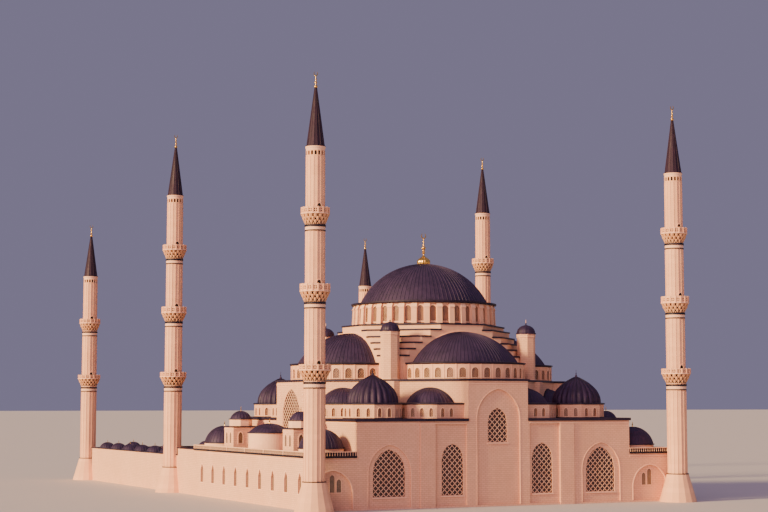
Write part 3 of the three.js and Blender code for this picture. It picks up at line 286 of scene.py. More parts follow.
# Minarets: shaft radii between the balconies, then each balcony's foot, parapet top and radius
MINARET_X = 53.07
MINARET_SIDES = 16
FLARE_RADIUS = 5.15
FLARE_NECK = 2.85
FLARE_TOP = 7.36
BAND_INSET = 0.3
WIDE_BAND = (0.2, 0.26)
NARROW_BAND = (0.16, 0.13)
COLLAR_REACH = 0.08
SLAB_ABOVE_FOOT = 2.45
SLAB_THICK = 0.2
SLAB_LIP = 0.1
SHAFT_ABOVE_BALCONY = -1.3
SLOT_LEVELS = (-2.5, -0.9)
SLOT_HALF = 0.27
RIB_HALF = 0.05
ROSETTE_RADIUS = 0.46
PARAPET_INSETS = (0.12, 0.3)
PARAPET_RAIL = 0.12
PARAPET_POST_HALF = 0.15
DOOR_FOOT = -1.2
DOOR_SPRING = 0.35
DOOR_APEX = 0.95
DOOR_HALF = 0.5
DOOR_DEPTHS = (-0.03, 0.1)
DOOR_FRAME_DEPTHS = (-0.1, 0.05)
CONE_BASE = 2.25
CONE_TIP = 0.26
CONE_STEPS = 10
CONE_SHEETS = {"thickness": 0.2, "seam_width": 0.1, "seam_height": 0.06}
CONE_RIM = [(1.8, -0.02), (2.45, -0.02), (2.45, 0.18), (1.8, 0.18)]
TALL_MINARET = {
    "radii": [2.58, 2.48, 2.4, 2.33],
    "balconies": [(31.5, 35.4, 3.85), (50.5, 54.85, 3.68), (69.35, 73.45, 3.5)],
    "bands": [(31.0, 29.8), (50.2, 49.04), (69.0, 67.84)],
    "cone": (88.4, 103.14),
    "top": 107.1,
}
LOW_MINARET = {
    "radii": [2.58, 2.45, 2.33],
    "balconies": [(32.2, 36.0, 3.75), (51.4, 55.4, 3.5)],
    "bands": [(31.59, 30.39), (50.85, 49.62)],
    "cone": (70.27, 84.45),
    "top": 88.5,
}
MINARETS = [
    ("front", -45.15, TALL_MINARET),
    ("middle", 59.95, TALL_MINARET),
    ("rear", 150.15, LOW_MINARET),
]

# Finials: the ribbed bulb of the main one, then radius and height of the balls and necks of the stems
FINIAL_TOP = 73.9
MAIN_BULB = [(0, -0.5), (1.6, -0.5), (1.78, 0.1), (1.9, 0.75), (1.8, 1.2), (1.45, 1.6), (0.95, 1.95)]
MAIN_BULB += [(0.5, 2.25), (0.3, 2.6), (0, 2.6)]
MAIN_BALLS = [(0.2, 0.55), (0.48, 0.55), (0.42, 0.65), (0.6, 0.9), (0.3, 0.75), (0.14, 0.3), (0.27, 0.5)]
MAIN_BALLS += [(0.12, 0.3), (0.2, 0.4)]
MINARET_BALLS = [(0.45, 0.75), (0.16, 0.3), (0.32, 0.6), (0.14, 0.3), (0.24, 0.45), (0.12, 0.3), (0.16, 0.35)]

SIDES = [("left", -1), ("right", 1)]
CORNERS = [("front_left", 1, 1), ("front_right", -1, 1), ("rear_left", 1, -1), ("rear_right", -1, -1)]
WAYS = [("front", 0), ("right", QUARTER), ("rear", math.pi), ("left", -QUARTER)]

# Stage: the suns' turns and sizes are in degrees, the camera is placed in metres of the model
SUNS = {
    "key_light": {"turn": (72, 0, -84), "strength": 7.4, "size": 10, "colour": (1.0, 0.71, 0.34)},
    "front_light": {"turn": (68, 0, -52), "strength": 1.6, "size": 50, "colour": (1.0, 0.58, 0.55)},
    "sky_light": {"turn": (20, 0, 60), "strength": 0.15, "size": 90, "colour": (0.8, 0.72, 1.0)},
}
BACKDROP_COLOUR = (0.72, 0.64, 1.0, 1)
BACKDROP_STRENGTH = 0.27
FLOOR_REACH = 600.0
FLOOR_COLOUR = (0.6, 0.57, 0.57, 1.0)
CAMERA_SPOT = (-21.208, -40.843, 2.590)
CAMERA_TURN = (95.1637, 0, -26.0528)
CAMERA_LENS = 76.91
CAMERA_SENSOR = 36.0
CAMERA_REACH = 2000.0


# Shapes


class Shape:
    """Points and faces of closed forms, in metres of the real building."""

    def __init__(self, points=(), faces=()):
        self.points = list(points)
        self.faces = list(faces)

    def add(self, other, matrix=None):
        start = len(self.points)
        self.points += [matrix @ Vector(point) if matrix else Vector(point) for point in other.points]
        self.faces += [[start + index for index in face] for face in other.faces]
        return self

    def placed(self, matrix):
        return Shape().add(self, matrix)


def moved(x=0.0, y=0.0, z=0.0):
    return Matrix.Translation((x, y, z))


def turned_by(angle):
    return Matrix.Rotation(angle, 4, "Z")


def flipped(x, y):
    return Matrix.Diagonal((x, y, 1, 1))


def facet_place(start, end):
    """The matrix that puts a form drawn on y = 0, facing -y, onto a plan line seen from outside."""
    a, b = Vector(start), Vector(end)
    middle = (a + b) / 2
    return moved(middle.x, middle.y) @ turned_by(math.atan2(b.y - a.y, b.x - a.x))


def on_circle(radius, angle, height):
    """A point at an angle from the front, which faces -y."""
    return (radius * math.sin(angle), -radius * math.cos(angle), height)


def mirrored(path):
    """A plan line's mirror image in x = 0, run the same way round."""
    return [(-x, y) for x, y in reversed(path)]


def arch(centre, half, sill, spring, apex, steps=6):
    """A pointed or round arched outline in x and z."""
    rise = apex - spring
    inset = (rise * rise - half * half) / (2 * half)
    radius = half + inset
    sweep = math.atan2(rise, inset)
    angles = [sweep * step / steps for step in range(steps + 1)]
    side = [(radius * math.cos(angle) - inset, spring + radius * math.sin(angle)) for angle in angles]
    right = [(centre + x, z) for x, z in side]
    left = [(centre - x, z) for x, z in reversed(side[:-1])]
    return [(centre - half, sill), (centre + half, sill), *right, *left]


def window_arch(window, offset=0.0, grow=0.0, steps=6):
    """The outline of a window, grown on every side."""
    half, sill, spring, apex = window
    return arch(offset, half + grow, sill - grow, spring, apex + grow, steps)


def rectangle(x0, z0, x1, z1):
    return [(x0, z0), (x1, z0), (x1, z1), (x0, z1)]


RELIEF_PANEL = rectangle(-0.9, 26.2, 0.9, 29.4)
RELIEF_PANEL_HOLE = rectangle(-0.7, 26.4, 0.7, 29.2)


def capped(loops, place_low, place_high, skipped=()):
    """Two matching caps of one outline with holes, joined along every edge but the skipped ones."""
    caps = tessellate_polygon([[Vector((u, v, 0)) for u, v in loop] for loop in loops])
    every = [point for loop in loops for point in loop]
    count = len(every)
    points = [place_low(u, v) for u, v in every] + [place_high(u, v) for u, v in every]
    faces = [list(cap) for cap in caps] + [[index + count for index in reversed(cap)] for cap in caps]
    start = 0
    for loop in loops:
        for index in range(len(loop)):
            a = start + index
            b = start + (index + 1) % len(loop)
            if a not in skipped:
                faces.append([a, b, b + count, a + count])
        start += len(loop)
    return Shape(points, faces)


def upright(outline, y0, y1, holes=()):
    """An elevation outline given thickness along y."""
    return capped([outline, *holes], lambda u, v: (u, y0, v), lambda u, v: (u, y1, v))


def raised(plan, z0, z1, holes=()):
    """A plan outline raised from one level to another."""
    return capped([plan, *holes], lambda u, v: (u, v, z0), lambda u, v: (u, v, z1))


def block(x0, x1, y0, y1, z0, z1):
    return raised(rectangle(x0, y0, x1, y1), z0, z1)


def hull(points):
    """The convex form round some points."""
    mesh = bmesh.new()
    for point in points:
        mesh.verts.new(point)
    made = bmesh.ops.convex_hull(mesh, input=mesh.verts)
    inside = {item for item in made["geom_interior"] if isinstance(item, bmesh.types.BMVert)}
    bmesh.ops.delete(mesh, geom=list(inside), context="VERTS")
    mesh.verts.index_update()
    faces = [[vert.index for vert in face.verts] for face in mesh.faces]
    form = Shape([vert.co.copy() for vert in mesh.verts], faces)
    mesh.free()
    return form


def mirrored_hull(half, section):
    """The convex form of a section of radius and height on the front, as wide on both sides."""
    return hull([(sign * half, -radius, height) for sign in (-1, 1) for radius, height in section])


def lofted(rings, closed=True, skipped=()):
    """Loops of points joined one to the next, with a face on each end unless the last meets the first."""
    count, length = len(rings), len(rings[0])
    faces = []
    for index in range(count if closed else count - 1):
        near = index * length
        far = (index + 1) % count * length
        for step in range(length):
            after = (step + 1) % length
            if step not in skipped:
                faces.append([near + step, far + step, far + after, near + after])
    if not closed:
        faces.append(list(range(length)))
        faces.append([(count - 1) * length + step for step in range(length)])
    return Shape([point for ring in rings for point in ring], faces)


def turned(profile, sides, wave=None):
    """A closed profile of radius and height, or one from axis to axis, turned about z."""
    rings = []
    for side in range(sides):
        angle = TURN * (side + 0.5) / sides
        factor = wave(angle) if wave else 1
        rings.append([on_circle(radius * factor, angle, height) for radius, height in profile])
    pairs = zip(profile, profile[1:] + profile[:1])
    on_axis = [step for step, (here, after) in enumerate(pairs) if here[0] == after[0] == 0]
    return lofted(rings, True, on_axis)


def ring(r0, r1, z0, z1, sides):
    """A square-edged ring, or a solid drum where the inner radius is 0."""
    return turned(rectangle(r0, z0, r1, z1), sides)


def polygon_plan(radius, sides, to_flats=True):
    """Plan points of a regular polygon with a flat facing -y, measured to its flats or its corners."""
    reach = radius / math.cos(math.pi / sides) if to_flats else radius
    return [on_circle(reach, TURN * (side + 0.5) / sides, 0)[:2] for side in range(sides)]


def swept(plan, profile, closed=False):
    """A closed profile of distance out and height, carried along a plan line with mitred corners.
    The outside of the line is on its right."""
    count = len(plan)
    rings = []
    for index in range(count):
        here = Vector(plan[index])
        before = Vector(plan[index - 1]) if closed or index else here
        after = Vector(plan[(index + 1) % count]) if closed or index < count - 1 else here
        incoming = (here - before if here != before else after - here).normalized()
        outgoing = (after - here if after != here else here - before).normalized()
        normal = Vector((outgoing.y, -outgoing.x))
        mitre = normal + Vector((incoming.y, -incoming.x))
        mitre /= max(mitre.dot(normal), TINY)
        rings.append([(here.x + mitre.x * out, here.y + mitre.y * out, z) for out, z in profile])
    return lofted(rings, closed)


def wall_length(ends, inner_ends, z0, z1, holes, skipped):
    """One straight length of wall between two plan points, mitred at its ends on the inside."""
    a, b = (Vector(end) for end in ends)
    middle = (a + b) / 2
    half = (b - a).length / 2
    along = (b - a).normalized()
    inward = Vector((-along.y, along.x))
    near, far = (Vector(end) - middle for end in inner_ends)
    mitres = {-half: near.dot(along), half: far.dot(along)}
    depth = inward * near.dot(inward)

    def front(u, v):
        return (*(middle + along * u), v)

    def back(u, v):
        return (*(middle + along * mitres.get(u, u) + depth), v)

    return capped([rectangle(-half, z0, half, z1), *holes], front, back, skipped)


def wall_run(outer, inner, z0, z1, windows):
    """Straight lengths of wall between matching outer and inner plan points, with windows cut through.
    windows lists the outlines on each length, measured from its middle. The run closes on itself
    if it has as many lengths as points."""
    shape = Shape()
    closed = len(windows) == len(outer)
    right_end, left_end = 1, 3
    for index, holes in enumerate(windows):
        following = (index + 1) % len(outer)
        skipped = {right_end, left_end}
        if not closed and index == 0:
            skipped.discard(left_end)
        if not closed and index == len(windows) - 1:
            skipped.discard(right_end)
        ends = outer[index], outer[following]
        inner_ends = inner[index], inner[following]
        shape.add(wall_length(ends, inner_ends, z0, z1, holes, skipped))
    return shape


def dome_section(radius, rim, apex, steps):
    """Radius and height of points up a round dome, from its rim to its top."""
    rise = apex - rim
    bend = (radius * radius + rise * rise) / (2 * rise)
    centre = apex - bend
    first = math.atan2(rim - centre, radius)
    angles = [first + (QUARTER - first) * step / steps for step in range(steps)]
    return [(bend * math.cos(angle), centre + bend * math.sin(angle)) for angle in angles] + [(0.0, apex)]


def section_normals(section):
    normals = []
    for index in range(len(section)):
        before = Vector(section[max(index - 1, 0)])
        after = Vector(section[min(index + 1, len(section) - 1)])
        along = (after - before).normalized()
        normals.append(Vector((along.y, -along.x)))
    return normals


# Across a standing seam: shares of its width, and of its height
SEAM = [(-0.5, 0.0), (-0.28, 1.0), (0.28, 1.0), (0.5, 0.0)]


def seamed_dome(section, seams, thickness, half=False, seam_width=0.2, seam_height=0.09):
    """A leaded shell with raised standing seams up its slope. A half dome bulges towards -y."""
    sweep = math.pi if half else TURN
    first = -QUARTER if half else 0.0
    pitch = sweep / seams
    normals = section_normals(section)
    inner = [(max(r - n.x * thickness, 0.0), z - n.y * thickness) for (r, z), n in zip(section, normals)]
    inner[0] = (section[0][0] - thickness, section[0][1])

    def column(angle, outside):
        return outside + [on_circle(r, angle, z) for r, z in reversed(inner)]

    columns = []
    for seam in range(seams):
        centre = first + (seam + 0.5) * pitch
        for across, lift in SEAM:
            outside = []
            for (radius, height), normal in zip(section, normals):
                angle = centre + across * min(seam_width / max(radius, WELD), 0.5 * pitch)
                rise = seam_height * lift if radius > seam_width else 0.0
                outside.append(on_circle(radius + normal.x * rise, angle, height + normal.y * rise))
            columns.append(column(centre + across * pitch * 0.3, outside))
    if half:
        start, end = ([on_circle(r, angle, z) for r, z in section] for angle in (first, -first))
        columns = [column(first, start), *columns, column(-first, end)]
    return lofted(columns, not half, [len(section) - 1])


def lobed(count, depth):
    """The radius factor of a dome with rounded lobes and sharp valleys."""
    return lambda angle: 1 - depth + depth * abs(math.sin(angle * count / 2))


def clipped_line(point, direction, outline, shortest=0.05):
    """The stretch of a line that lies inside a convex outline, or None."""
    low, high = -FAR, FAR
    for start, end in zip(outline, outline[1:] + outline[:1]):
        edge = Vector(end) - Vector(start)
        inward = Vector((-edge.y, edge.x))
        speed = direction.dot(inward)
        distance = (Vector(start) - point).dot(inward)
        if abs(speed) < 1 / FAR:
            if distance > 0:
                return None
        elif speed > 0:
            low = max(low, distance / speed)
        else:
            high = min(high, distance / speed)
    if high - low < shortest:
        return None
    return point + direction * low, point + direction * high


def lattice_lines(outline, width, height):
    """The lines of a diamond lattice inside an arched outline."""
    centre = sum(x for x, _ in outline[:2]) / 2
    sill = outline[0][1]
    lines = []
    for lean in (1, -1):
        direction = Vector((lean * width, height)).normalized()
        for index in range(-20, 21):
            start = Vector((centre + (index + 0.5) * width, sill))
            lines.append(clipped_line(start, direction, outline))
    return [line for line in lines if line]


def lattice_paths(outline, width, height, depth):
    """The lattice's lines as paths at a depth behind y = 0."""
    return [[(a.x, depth, a.y), (b.x, depth, b.y)] for a, b in lattice_lines(outline, width, height)]


def stacked_balls(foot, balls, neck=0.12, steps=6):
    """The profile of a stem of balls and necks, each a radius and a height."""
    profile = [(0, foot)]
    height = foot
    for radius, tall in balls:
        for step in range(steps + 1):
            angle = math.pi * step / steps
            rise = tall * (1 - math.cos(angle)) / 2
            profile.append((neck + (radius - neck) * math.sin(angle), height + rise))
        height += tall
    profile.append((0, height))
    return profile


def crescent(foot, top, thick, steps=22):
    """An open crescent standing on its back."""
    radius = (top - foot) / 2
    centre = foot + radius
    opening = math.radians(52)
    outer, inner = [], []
    for step in range(steps + 1):
        angle = QUARTER + opening / 2 + (TURN - opening) * step / steps
        share = abs(2 * step / steps - 1)
        inside = radius - radius * (0.06 + 0.3 * (1 - share**2))
        outer.append((radius * math.cos(angle), centre + radius * math.sin(angle)))
        inner.append((inside * math.cos(angle), centre + inside * math.sin(angle)))
    return upright(outer + inner[::-1], -thick / 2, thick / 2)


def finial_stem(foot, balls, top, sides, lap, thick):
    """A stem of balls with a crescent on it."""
    stem = stacked_balls(foot, balls)
    return turned(stem, sides).add(crescent(stem[-1][1] - lap, top, thick))


def spike(foot, tall, radius):
    """A small turned finial: shares of its radius and its height."""
    shares = [(0.5, 0.2), (1.1, 0.36), (0.3, 0.5), (0.7, 0.64), (0.2, 0.76), (0, 1)]
    profile = [(0, foot - 0.2), (radius, foot - 0.2)]
    profile += [(radius * out, foot + tall * up) for out, up in shares]
    return turned(profile, 12)


# Node trees


def chosen(node, **settings):
    for name, value in settings.items():
        setattr(node, name, value)
    return node


class Graph:
    """Adds nodes to a tree and joins them."""

    def __init__(self, tree):
        self.tree = tree

    def put(self, socket, value):
        if isinstance(value, bpy.types.NodeSocket):
            self.tree.links.new(value, socket)
        elif value is not None:
            socket.default_value = value

    def add(self, kind, settings=None, **inputs):
        node = chosen(self.tree.nodes.new(kind), **(settings or {}))
        for name, value in inputs.items():
            self.put(node.inputs[name.replace("_", " ")], value)
        return node

    def math(self, operation, *values):
        node = self.add("ShaderNodeMath", {"operation": operation})
        for socket, value in zip(node.inputs, values):
            self.put(socket, value)
        return node.outputs[0]

    def share(self, value, part):
        return self.math("MULTIPLY", value, part)

    def vector(self, operation, *values):
        node = self.add("ShaderNodeVectorMath", {"operation": operation})
        last = "Scale" if operation == "SCALE" else 1
        for place, value in zip((0, last), values):
            self.put(node.inputs[place], value)
        return node.outputs["Value" if operation == "DOT_PRODUCT" else 0]

    def mix(self, factor, first, second):
        node = self.add("ShaderNodeMix", {"data_type": "RGBA"})
        colours = [socket for socket in node.inputs if socket.type == "RGBA"]
        for socket, value in zip([node.inputs[0], *colours], (factor, first, second)):
            self.put(socket, value)
        return next(socket for socket in node.outputs if socket.type == "RGBA")

    def ramp(self, value, low, high):
        node = self.add("ShaderNodeMapRange", {"clamp": True}, Value=value, From_Min=low, From_Max=high)
        return node.outputs[0]

    def noise(self, where, scale, detail, rough=None):
        node = self.add("ShaderNodeTexNoise", Vector=where, Scale=scale, Detail=detail, Roughness=rough)
        return node.outputs[0]

    def real_position(self):
        """Object coordinates in metres of the real building."""
        return self.vector("SCALE", self.add("ShaderNodeTexCoord").outputs["Object"], 1 / MODEL_SCALE)

    def bricks(self, where, joint, length, height):
        """Courses of blocks on a plane, each block with a grey of its own."""
        colours = {"Color1": (0, 0, 0, 1), "Color2": (1, 1, 1, 1), "Mortar": (0.5, 0.5, 0.5, 1)}
        sizes = {"Scale": 1.0, "Mortar Size": joint, "Brick Width": length, "Row Height": height}
        node = self.add("ShaderNodeTexBrick", {"offset": 0.5}, Vector=where, **colours, **sizes)
        return node.outputs["Fac"], node.outputs["Color"]

    def group(self, tree, **inputs):
        return self.add("ShaderNodeGroup", {"node_tree": tree}, **inputs).outputs


def new_tree(name, kind, inputs, outputs):
    """A tree of its own with its graph, what its input sockets give and its result."""
    tree = bpy.data.node_groups.new(name, kind)
    for label, socket_kind, default in inputs:
        socket = tree.interface.new_socket(label, in_out="INPUT", socket_type=socket_kind)
        if default is not None:
            socket.default_value = default
    for label, socket_kind in outputs:
        tree.interface.new_socket(label, in_out="OUTPUT", socket_type=socket_kind)
    return Graph(tree), tree.nodes.new("NodeGroupInput").outputs, tree.nodes.new("NodeGroupOutput").inputs


GEOMETRY = "NodeSocketGeometry"
FLOAT = "NodeSocketFloat"


def form_tree(name, inputs):
    every = [("Geometry", GEOMETRY, None), *inputs, ("Material", "NodeSocketMaterial", None)]
    return new_tree(name, "GeometryNodeTree", every, [("Geometry", GEOMETRY)])


def give(graph, geometry, material, result):
    """Realized instances with their material are what the tree gives."""
    solid = graph.add("GeometryNodeRealizeInstances", Geometry=geometry).outputs[0]
    finished = graph.add("GeometryNodeSetMaterial", Geometry=solid, Material=material).outputs[0]
    graph.put(result[0], finished)
    return graph.tree


@functools.cache
def copies_tree():
    """Copies of one form round a circle, along a line, or both."""
    inputs = [("Form", "NodeSocketObject", None), ("Count", "NodeSocketInt", 1), ("Radius", FLOAT, 0.0)]
    inputs += [("First Angle", FLOAT, 0.0), ("Turn", FLOAT, 0.0)]
    inputs += [("Step", "NodeSocketVector", (0.0, 0.0, 0.0))]
    graph, entry, result = form_tree("copies", inputs)
    line = graph.add("GeometryNodeMeshLine", {"mode": "OFFSET"}, Offset=(0, 0, 0), Count=entry["Count"])
    index = graph.add("GeometryNodeInputIndex").outputs[0]
    angle = graph.math("ADD", entry["First Angle"], graph.share(index, entry["Turn"]))
    east = graph.share(entry["Radius"], graph.math("SINE", angle))
    north = graph.share(entry["Radius"], graph.math("COSINE", angle))
    circle = graph.add("ShaderNodeCombineXYZ", X=east, Y=graph.share(north, -1.0)).outputs[0]
    spot = graph.vector("ADD", circle, graph.vector("SCALE", entry["Step"], index))
    points = graph.add("GeometryNodeSetPosition", Geometry=line.outputs[0], Position=spot).outputs[0]
    form = graph.add("GeometryNodeObjectInfo", Object=entry["Form"]).outputs["Geometry"]
    turn = graph.add("FunctionNodeAxisAngleToRotation", Angle=angle).outputs[0]
    placed = graph.add("GeometryNodeInstanceOnPoints", Points=points, Instance=form, Rotation=turn)
    return give(graph, placed.outputs[0], entry["Material"], result)


@functools.cache
def bars_tree():
    """Square-cut bars along the edges of a wire mesh."""
    graph, entry, result = form_tree("bars", [("Width", FLOAT, 0.3), ("Depth", FLOAT, 0.3)])
    path = graph.add("GeometryNodeMeshToCurve", Mesh=entry["Geometry"]).outputs[0]
    level = graph.add("GeometryNodeSetCurveNormal", {"mode": "Z_UP"}, Curve=path).outputs[0]
    section = graph.add("GeometryNodeCurvePrimitiveQuadrilateral", {"mode": "RECTANGLE"})
    graph.put(section.inputs["Width"], entry["Depth"])
    graph.put(section.inputs["Height"], entry["Width"])
    bar = graph.add("GeometryNodeCurveToMesh", Curve=level, Profile_Curve=section.outputs[0], Fill_Caps=True)
    return give(graph, bar.outputs[0], entry["Material"], result)


def linked(name, data):
    made = bpy.data.objects.new(name, data)
    bpy.context.scene.collection.objects.link(made)
    return made


def plain_mesh(name, form, edges=()):
    mesh = bpy.data.meshes.new(name)
    mesh.from_pydata([tuple(point) for point in form.points], edges, form.faces)
    return mesh


def dropped(made):
    """Removes an object that was only needed in passing, with its mesh."""
    mesh = made.data
    bpy.data.objects.remove(made)
    bpy.data.meshes.remove(mesh)


def evaluated(host_mesh, tree, values):
    """The form that a node tree makes from a mesh."""
    host = linked("host", host_mesh)
    modifier = host.modifiers.new("tree", "NODES")
    modifier.node_group = tree
    sockets = {item.name: item.identifier for item in tree.interface.items_tree if item.in_out == "INPUT"}
    for label, value in {"Material": finish_named("limestone"), **values}.items():
        modifier[sockets[label]] = value
    bpy.context.view_layer.update()
    mesh = bpy.data.meshes.new_from_object(host.evaluated_get(bpy.context.evaluated_depsgraph_get()))
    faces = [list(face.vertices) for face in mesh.polygons]
    form = Shape([vert.co.copy() for vert in mesh.vertices], faces)
    bpy.data.meshes.remove(mesh)
    host.modifiers.remove(modifier)
    dropped(host)
    return form


def copies(form, count, radius=0.0, first=0.0, turn=0.0, step=(0.0, 0.0, 0.0)):
    unit = linked("unit", plain_mesh("unit", form))
    values = {"Form": unit, "Count": count, "Radius": radius}
    values |= {"First Angle": first, "Turn": turn, "Step": step}
    made = evaluated(bpy.data.meshes.new("host"), copies_tree(), values)
    dropped(unit)
    return made


def bars(paths, width, depth):
    """Bars along paths of points."""
    points, edges = [], []
    for path in paths:
        start = len(points)
        points += path
        edges += [(start + index, start + index + 1) for index in range(len(path) - 1)]
    mesh = plain_mesh("paths", Shape(points), edges)
    return evaluated(mesh, bars_tree(), {"Width": width, "Depth": depth})


# Finished pieces


def piece(name, form, finish, replaces=(), smooth=False, sheets=None):
    """A finished object in its place, riding on the building."""
    mesh = plain_mesh(name, form)
    work = bmesh.new()
    work.from_mesh(mesh)
    bmesh.ops.remove_doubles(work, verts=work.verts, dist=WELD)
    bmesh.ops.recalc_face_normals(work, faces=work.faces)
    work.to_mesh(mesh)
    work.free()
    if sheets:
        add_sheet_map(mesh, *sheets)
    mesh.transform(Matrix.Scale(MODEL_SCALE, 4))
    if smooth:
        mesh.polygons.foreach_set("use_smooth", [True] * len(mesh.polygons))
        mesh.set_sharp_from_angle(angle=SMOOTH_BELOW)
    mesh.materials.append(finish_named(finish))
    made = linked(name, mesh)
    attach(made, BODY)
    if replaces:
        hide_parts(*replaces)


def add_sheet_map(mesh, centres, seams):
    """A UV map with the seam number across and metres of height up, round the nearest centre."""
    layer = mesh.uv_layers.new(name="sheets")
    for face in mesh.polygons:
        middle = face.center
        cx, cy = min(centres, key=lambda spot: (middle.x - spot[0]) ** 2 + (middle.y - spot[1]) ** 2)
        base = math.atan2(middle.x - cx, cy - middle.y)
        for corner in face.loop_indices:
            co = mesh.vertices[mesh.loops[corner].vertex_index].co
            angle = base
            if (co.x - cx) ** 2 + (co.y - cy) ** 2 >= WELD:
                angle += math.remainder(math.atan2(co.x - cx, cy - co.y) - base, TURN)
            layer.data[corner].uv = (angle / TURN * seams, co.z)


# Shader groups: they give masks and values only


def mask_tree(name, inputs, outputs):
    sockets = [(label, FLOAT, default) for label, default in inputs.items()]
    return new_tree(name, "ShaderNodeTree", sockets, [(label, FLOAT) for label in outputs])


@functools.cache
def courses_group():
    """Ashlar in courses: the joints, and a tone that changes from block to block."""
    inputs = {"Course Height": 0.5, "Block Length": 1.2, "Joint Width": 0.04}
    graph, entry, result = mask_tree("ashlar_courses", inputs, ["Joint", "Tone"])
    spot = graph.real_position()
    normal = graph.add("ShaderNodeNewGeometry").outputs["True Normal"]
    level = graph.vector("NORMALIZE", graph.vector("CROSS_PRODUCT", normal, (0, 0, -1)))
    along = graph.vector("DOT_PRODUCT", spot, level)
    height = graph.add("ShaderNodeSeparateXYZ", Vector=spot).outputs["Z"]
    flat = graph.add("ShaderNodeCombineXYZ", X=along, Y=height).outputs[0]
    joint, tone = graph.bricks(flat, entry["Joint Width"], entry["Block Length"], entry["Course Height"])
    graph.put(result["Joint"], joint)
    graph.put(result["Tone"], tone)
    return graph.tree


@functools.cache
def weather_group():
    """Rain streaks, broad stains and fine grain."""
    inputs = {"Streak Width": 0.7, "Stain Size": 9.0}
    graph, entry, result = mask_tree("weathering", inputs, ["Streaks", "Stains", "Grain"])
    spot = graph.real_position()
    drawn_down = graph.vector("MULTIPLY", spot, (1.0, 1.0, 0.09))
    streaks = graph.noise(drawn_down, graph.math("DIVIDE", 1.0, entry["Streak Width"]), 3.0)
    stains = graph.noise(spot, graph.math("DIVIDE", 1.0, entry["Stain Size"]), 4.0, 0.6)
    graph.put(result["Streaks"], graph.ramp(streaks, 0.42, 0.68))
    graph.put(result["Stains"], graph.ramp(stains, 0.38, 0.66))
    graph.put(result["Grain"], graph.noise(spot, 7.0, 2.0))
    return graph.tree


@functools.cache
def patina_group():
    """The cloudy patina of old lead."""
    graph, entry, result = mask_tree("lead_patina", {"Cloud Size": 2.4}, ["Clouds", "Runs", "Specks"])
    spot = graph.real_position()
    clouds = graph.noise(spot, graph.math("DIVIDE", 1.0, entry["Cloud Size"]), 5.0, 0.65)
    runs = graph.noise(graph.vector("MULTIPLY", spot, (1.6, 1.6, 0.22)), 1.3, 3.0)
    graph.put(result["Clouds"], graph.ramp(clouds, 0.35, 0.7))
    graph.put(result["Runs"], graph.ramp(runs, 0.45, 0.7))
    graph.put(result["Specks"], graph.noise(spot, 9.0, 2.0))
    return graph.tree


# Finishes


class Finish(Graph):
    """The nodes of one material."""

    def __init__(self, name):
        self.material = bpy.data.materials.new(name)
        self.material.use_nodes = True
        super().__init__(self.material.node_tree)

    def surface(self, **inputs):
        for label, value in inputs.items():
            self.put(self.tree.nodes["Principled BSDF"].inputs[label.replace("_", " ")], value)

    def emboss(self, height, strength, distance):
        bump = self.add("ShaderNodeBump", Strength=strength, Distance=distance, Height=height)
        self.surface(Normal=bump.outputs[0])

    def roughness(self, mask, share, least):
        self.surface(Roughness=self.math("ADD", self.share(mask, share), least))


def tinted(colour, tint):
    return (*[channel * part for channel, part in zip(colour, tint)], 1.0)


def shade(colour, factor):
    return (*[min(channel * factor, 1.0) for channel in colour[:3]], 1.0)


def stone_material(name, colour, course, length, joint, joint_depth, stain):
    """Dressed limestone laid in courses, streaked by rain."""
    finish = Finish(name)
    course = course or bpy.context.scene.mosque_sizes.course
    sizes = {"Course Height": course, "Block Length": length, "Joint Width": joint}
    courses = finish.group(courses_group(), **sizes)
    weather = finish.group(weather_group())
    blocks = finish.mix(courses["Tone"], shade(colour, 0.95), shade(colour, 1.05))
    stained = finish.mix(finish.share(weather["Stains"], stain), blocks, tinted(colour, (0.86, 0.76, 0.7)))
    wet = finish.share(weather["Streaks"], stain * 0.6)
    streaked = finish.mix(wet, stained, tinted(colour, (0.8, 0.74, 0.7)))
    joints = finish.share(courses["Joint"], 0.4 * joint_depth)
    finish.surface(Base_Color=finish.mix(joints, streaked, tinted(colour, (0.68, 0.58, 0.52))))
    finish.surface(Specular_IOR_Level=0.3)
    finish.roughness(weather["Grain"], 0.2, 0.68)
    grain, cut = finish.share(weather["Grain"], 0.35), finish.share(courses["Joint"], joint_depth)
    finish.emboss(finish.math("SUBTRACT", grain, cut), 0.35, 0.004)
    return finish.material


def carved_material(name, colour):
    """Carved stone, darker in dusty patches and rain streaks."""
    finish = Finish(name)
    weather = finish.group(weather_group(), Streak_Width=0.35, Stain_Size=1.6)
    tone = finish.mix(weather["Grain"], shade(colour, 0.9), shade(colour, 1.08))
    dusty = finish.mix(finish.share(weather["Stains"], 0.45), tone, tinted(colour, (0.85, 0.66, 0.48)))
    streaked = finish.mix(finish.share(weather["Streaks"], 0.3), dusty, tinted(colour, (0.7, 0.6, 0.54)))
    finish.surface(Base_Color=streaked, Roughness=0.8)
    finish.emboss(weather["Grain"], 0.3, 0.003)
    return finish.material


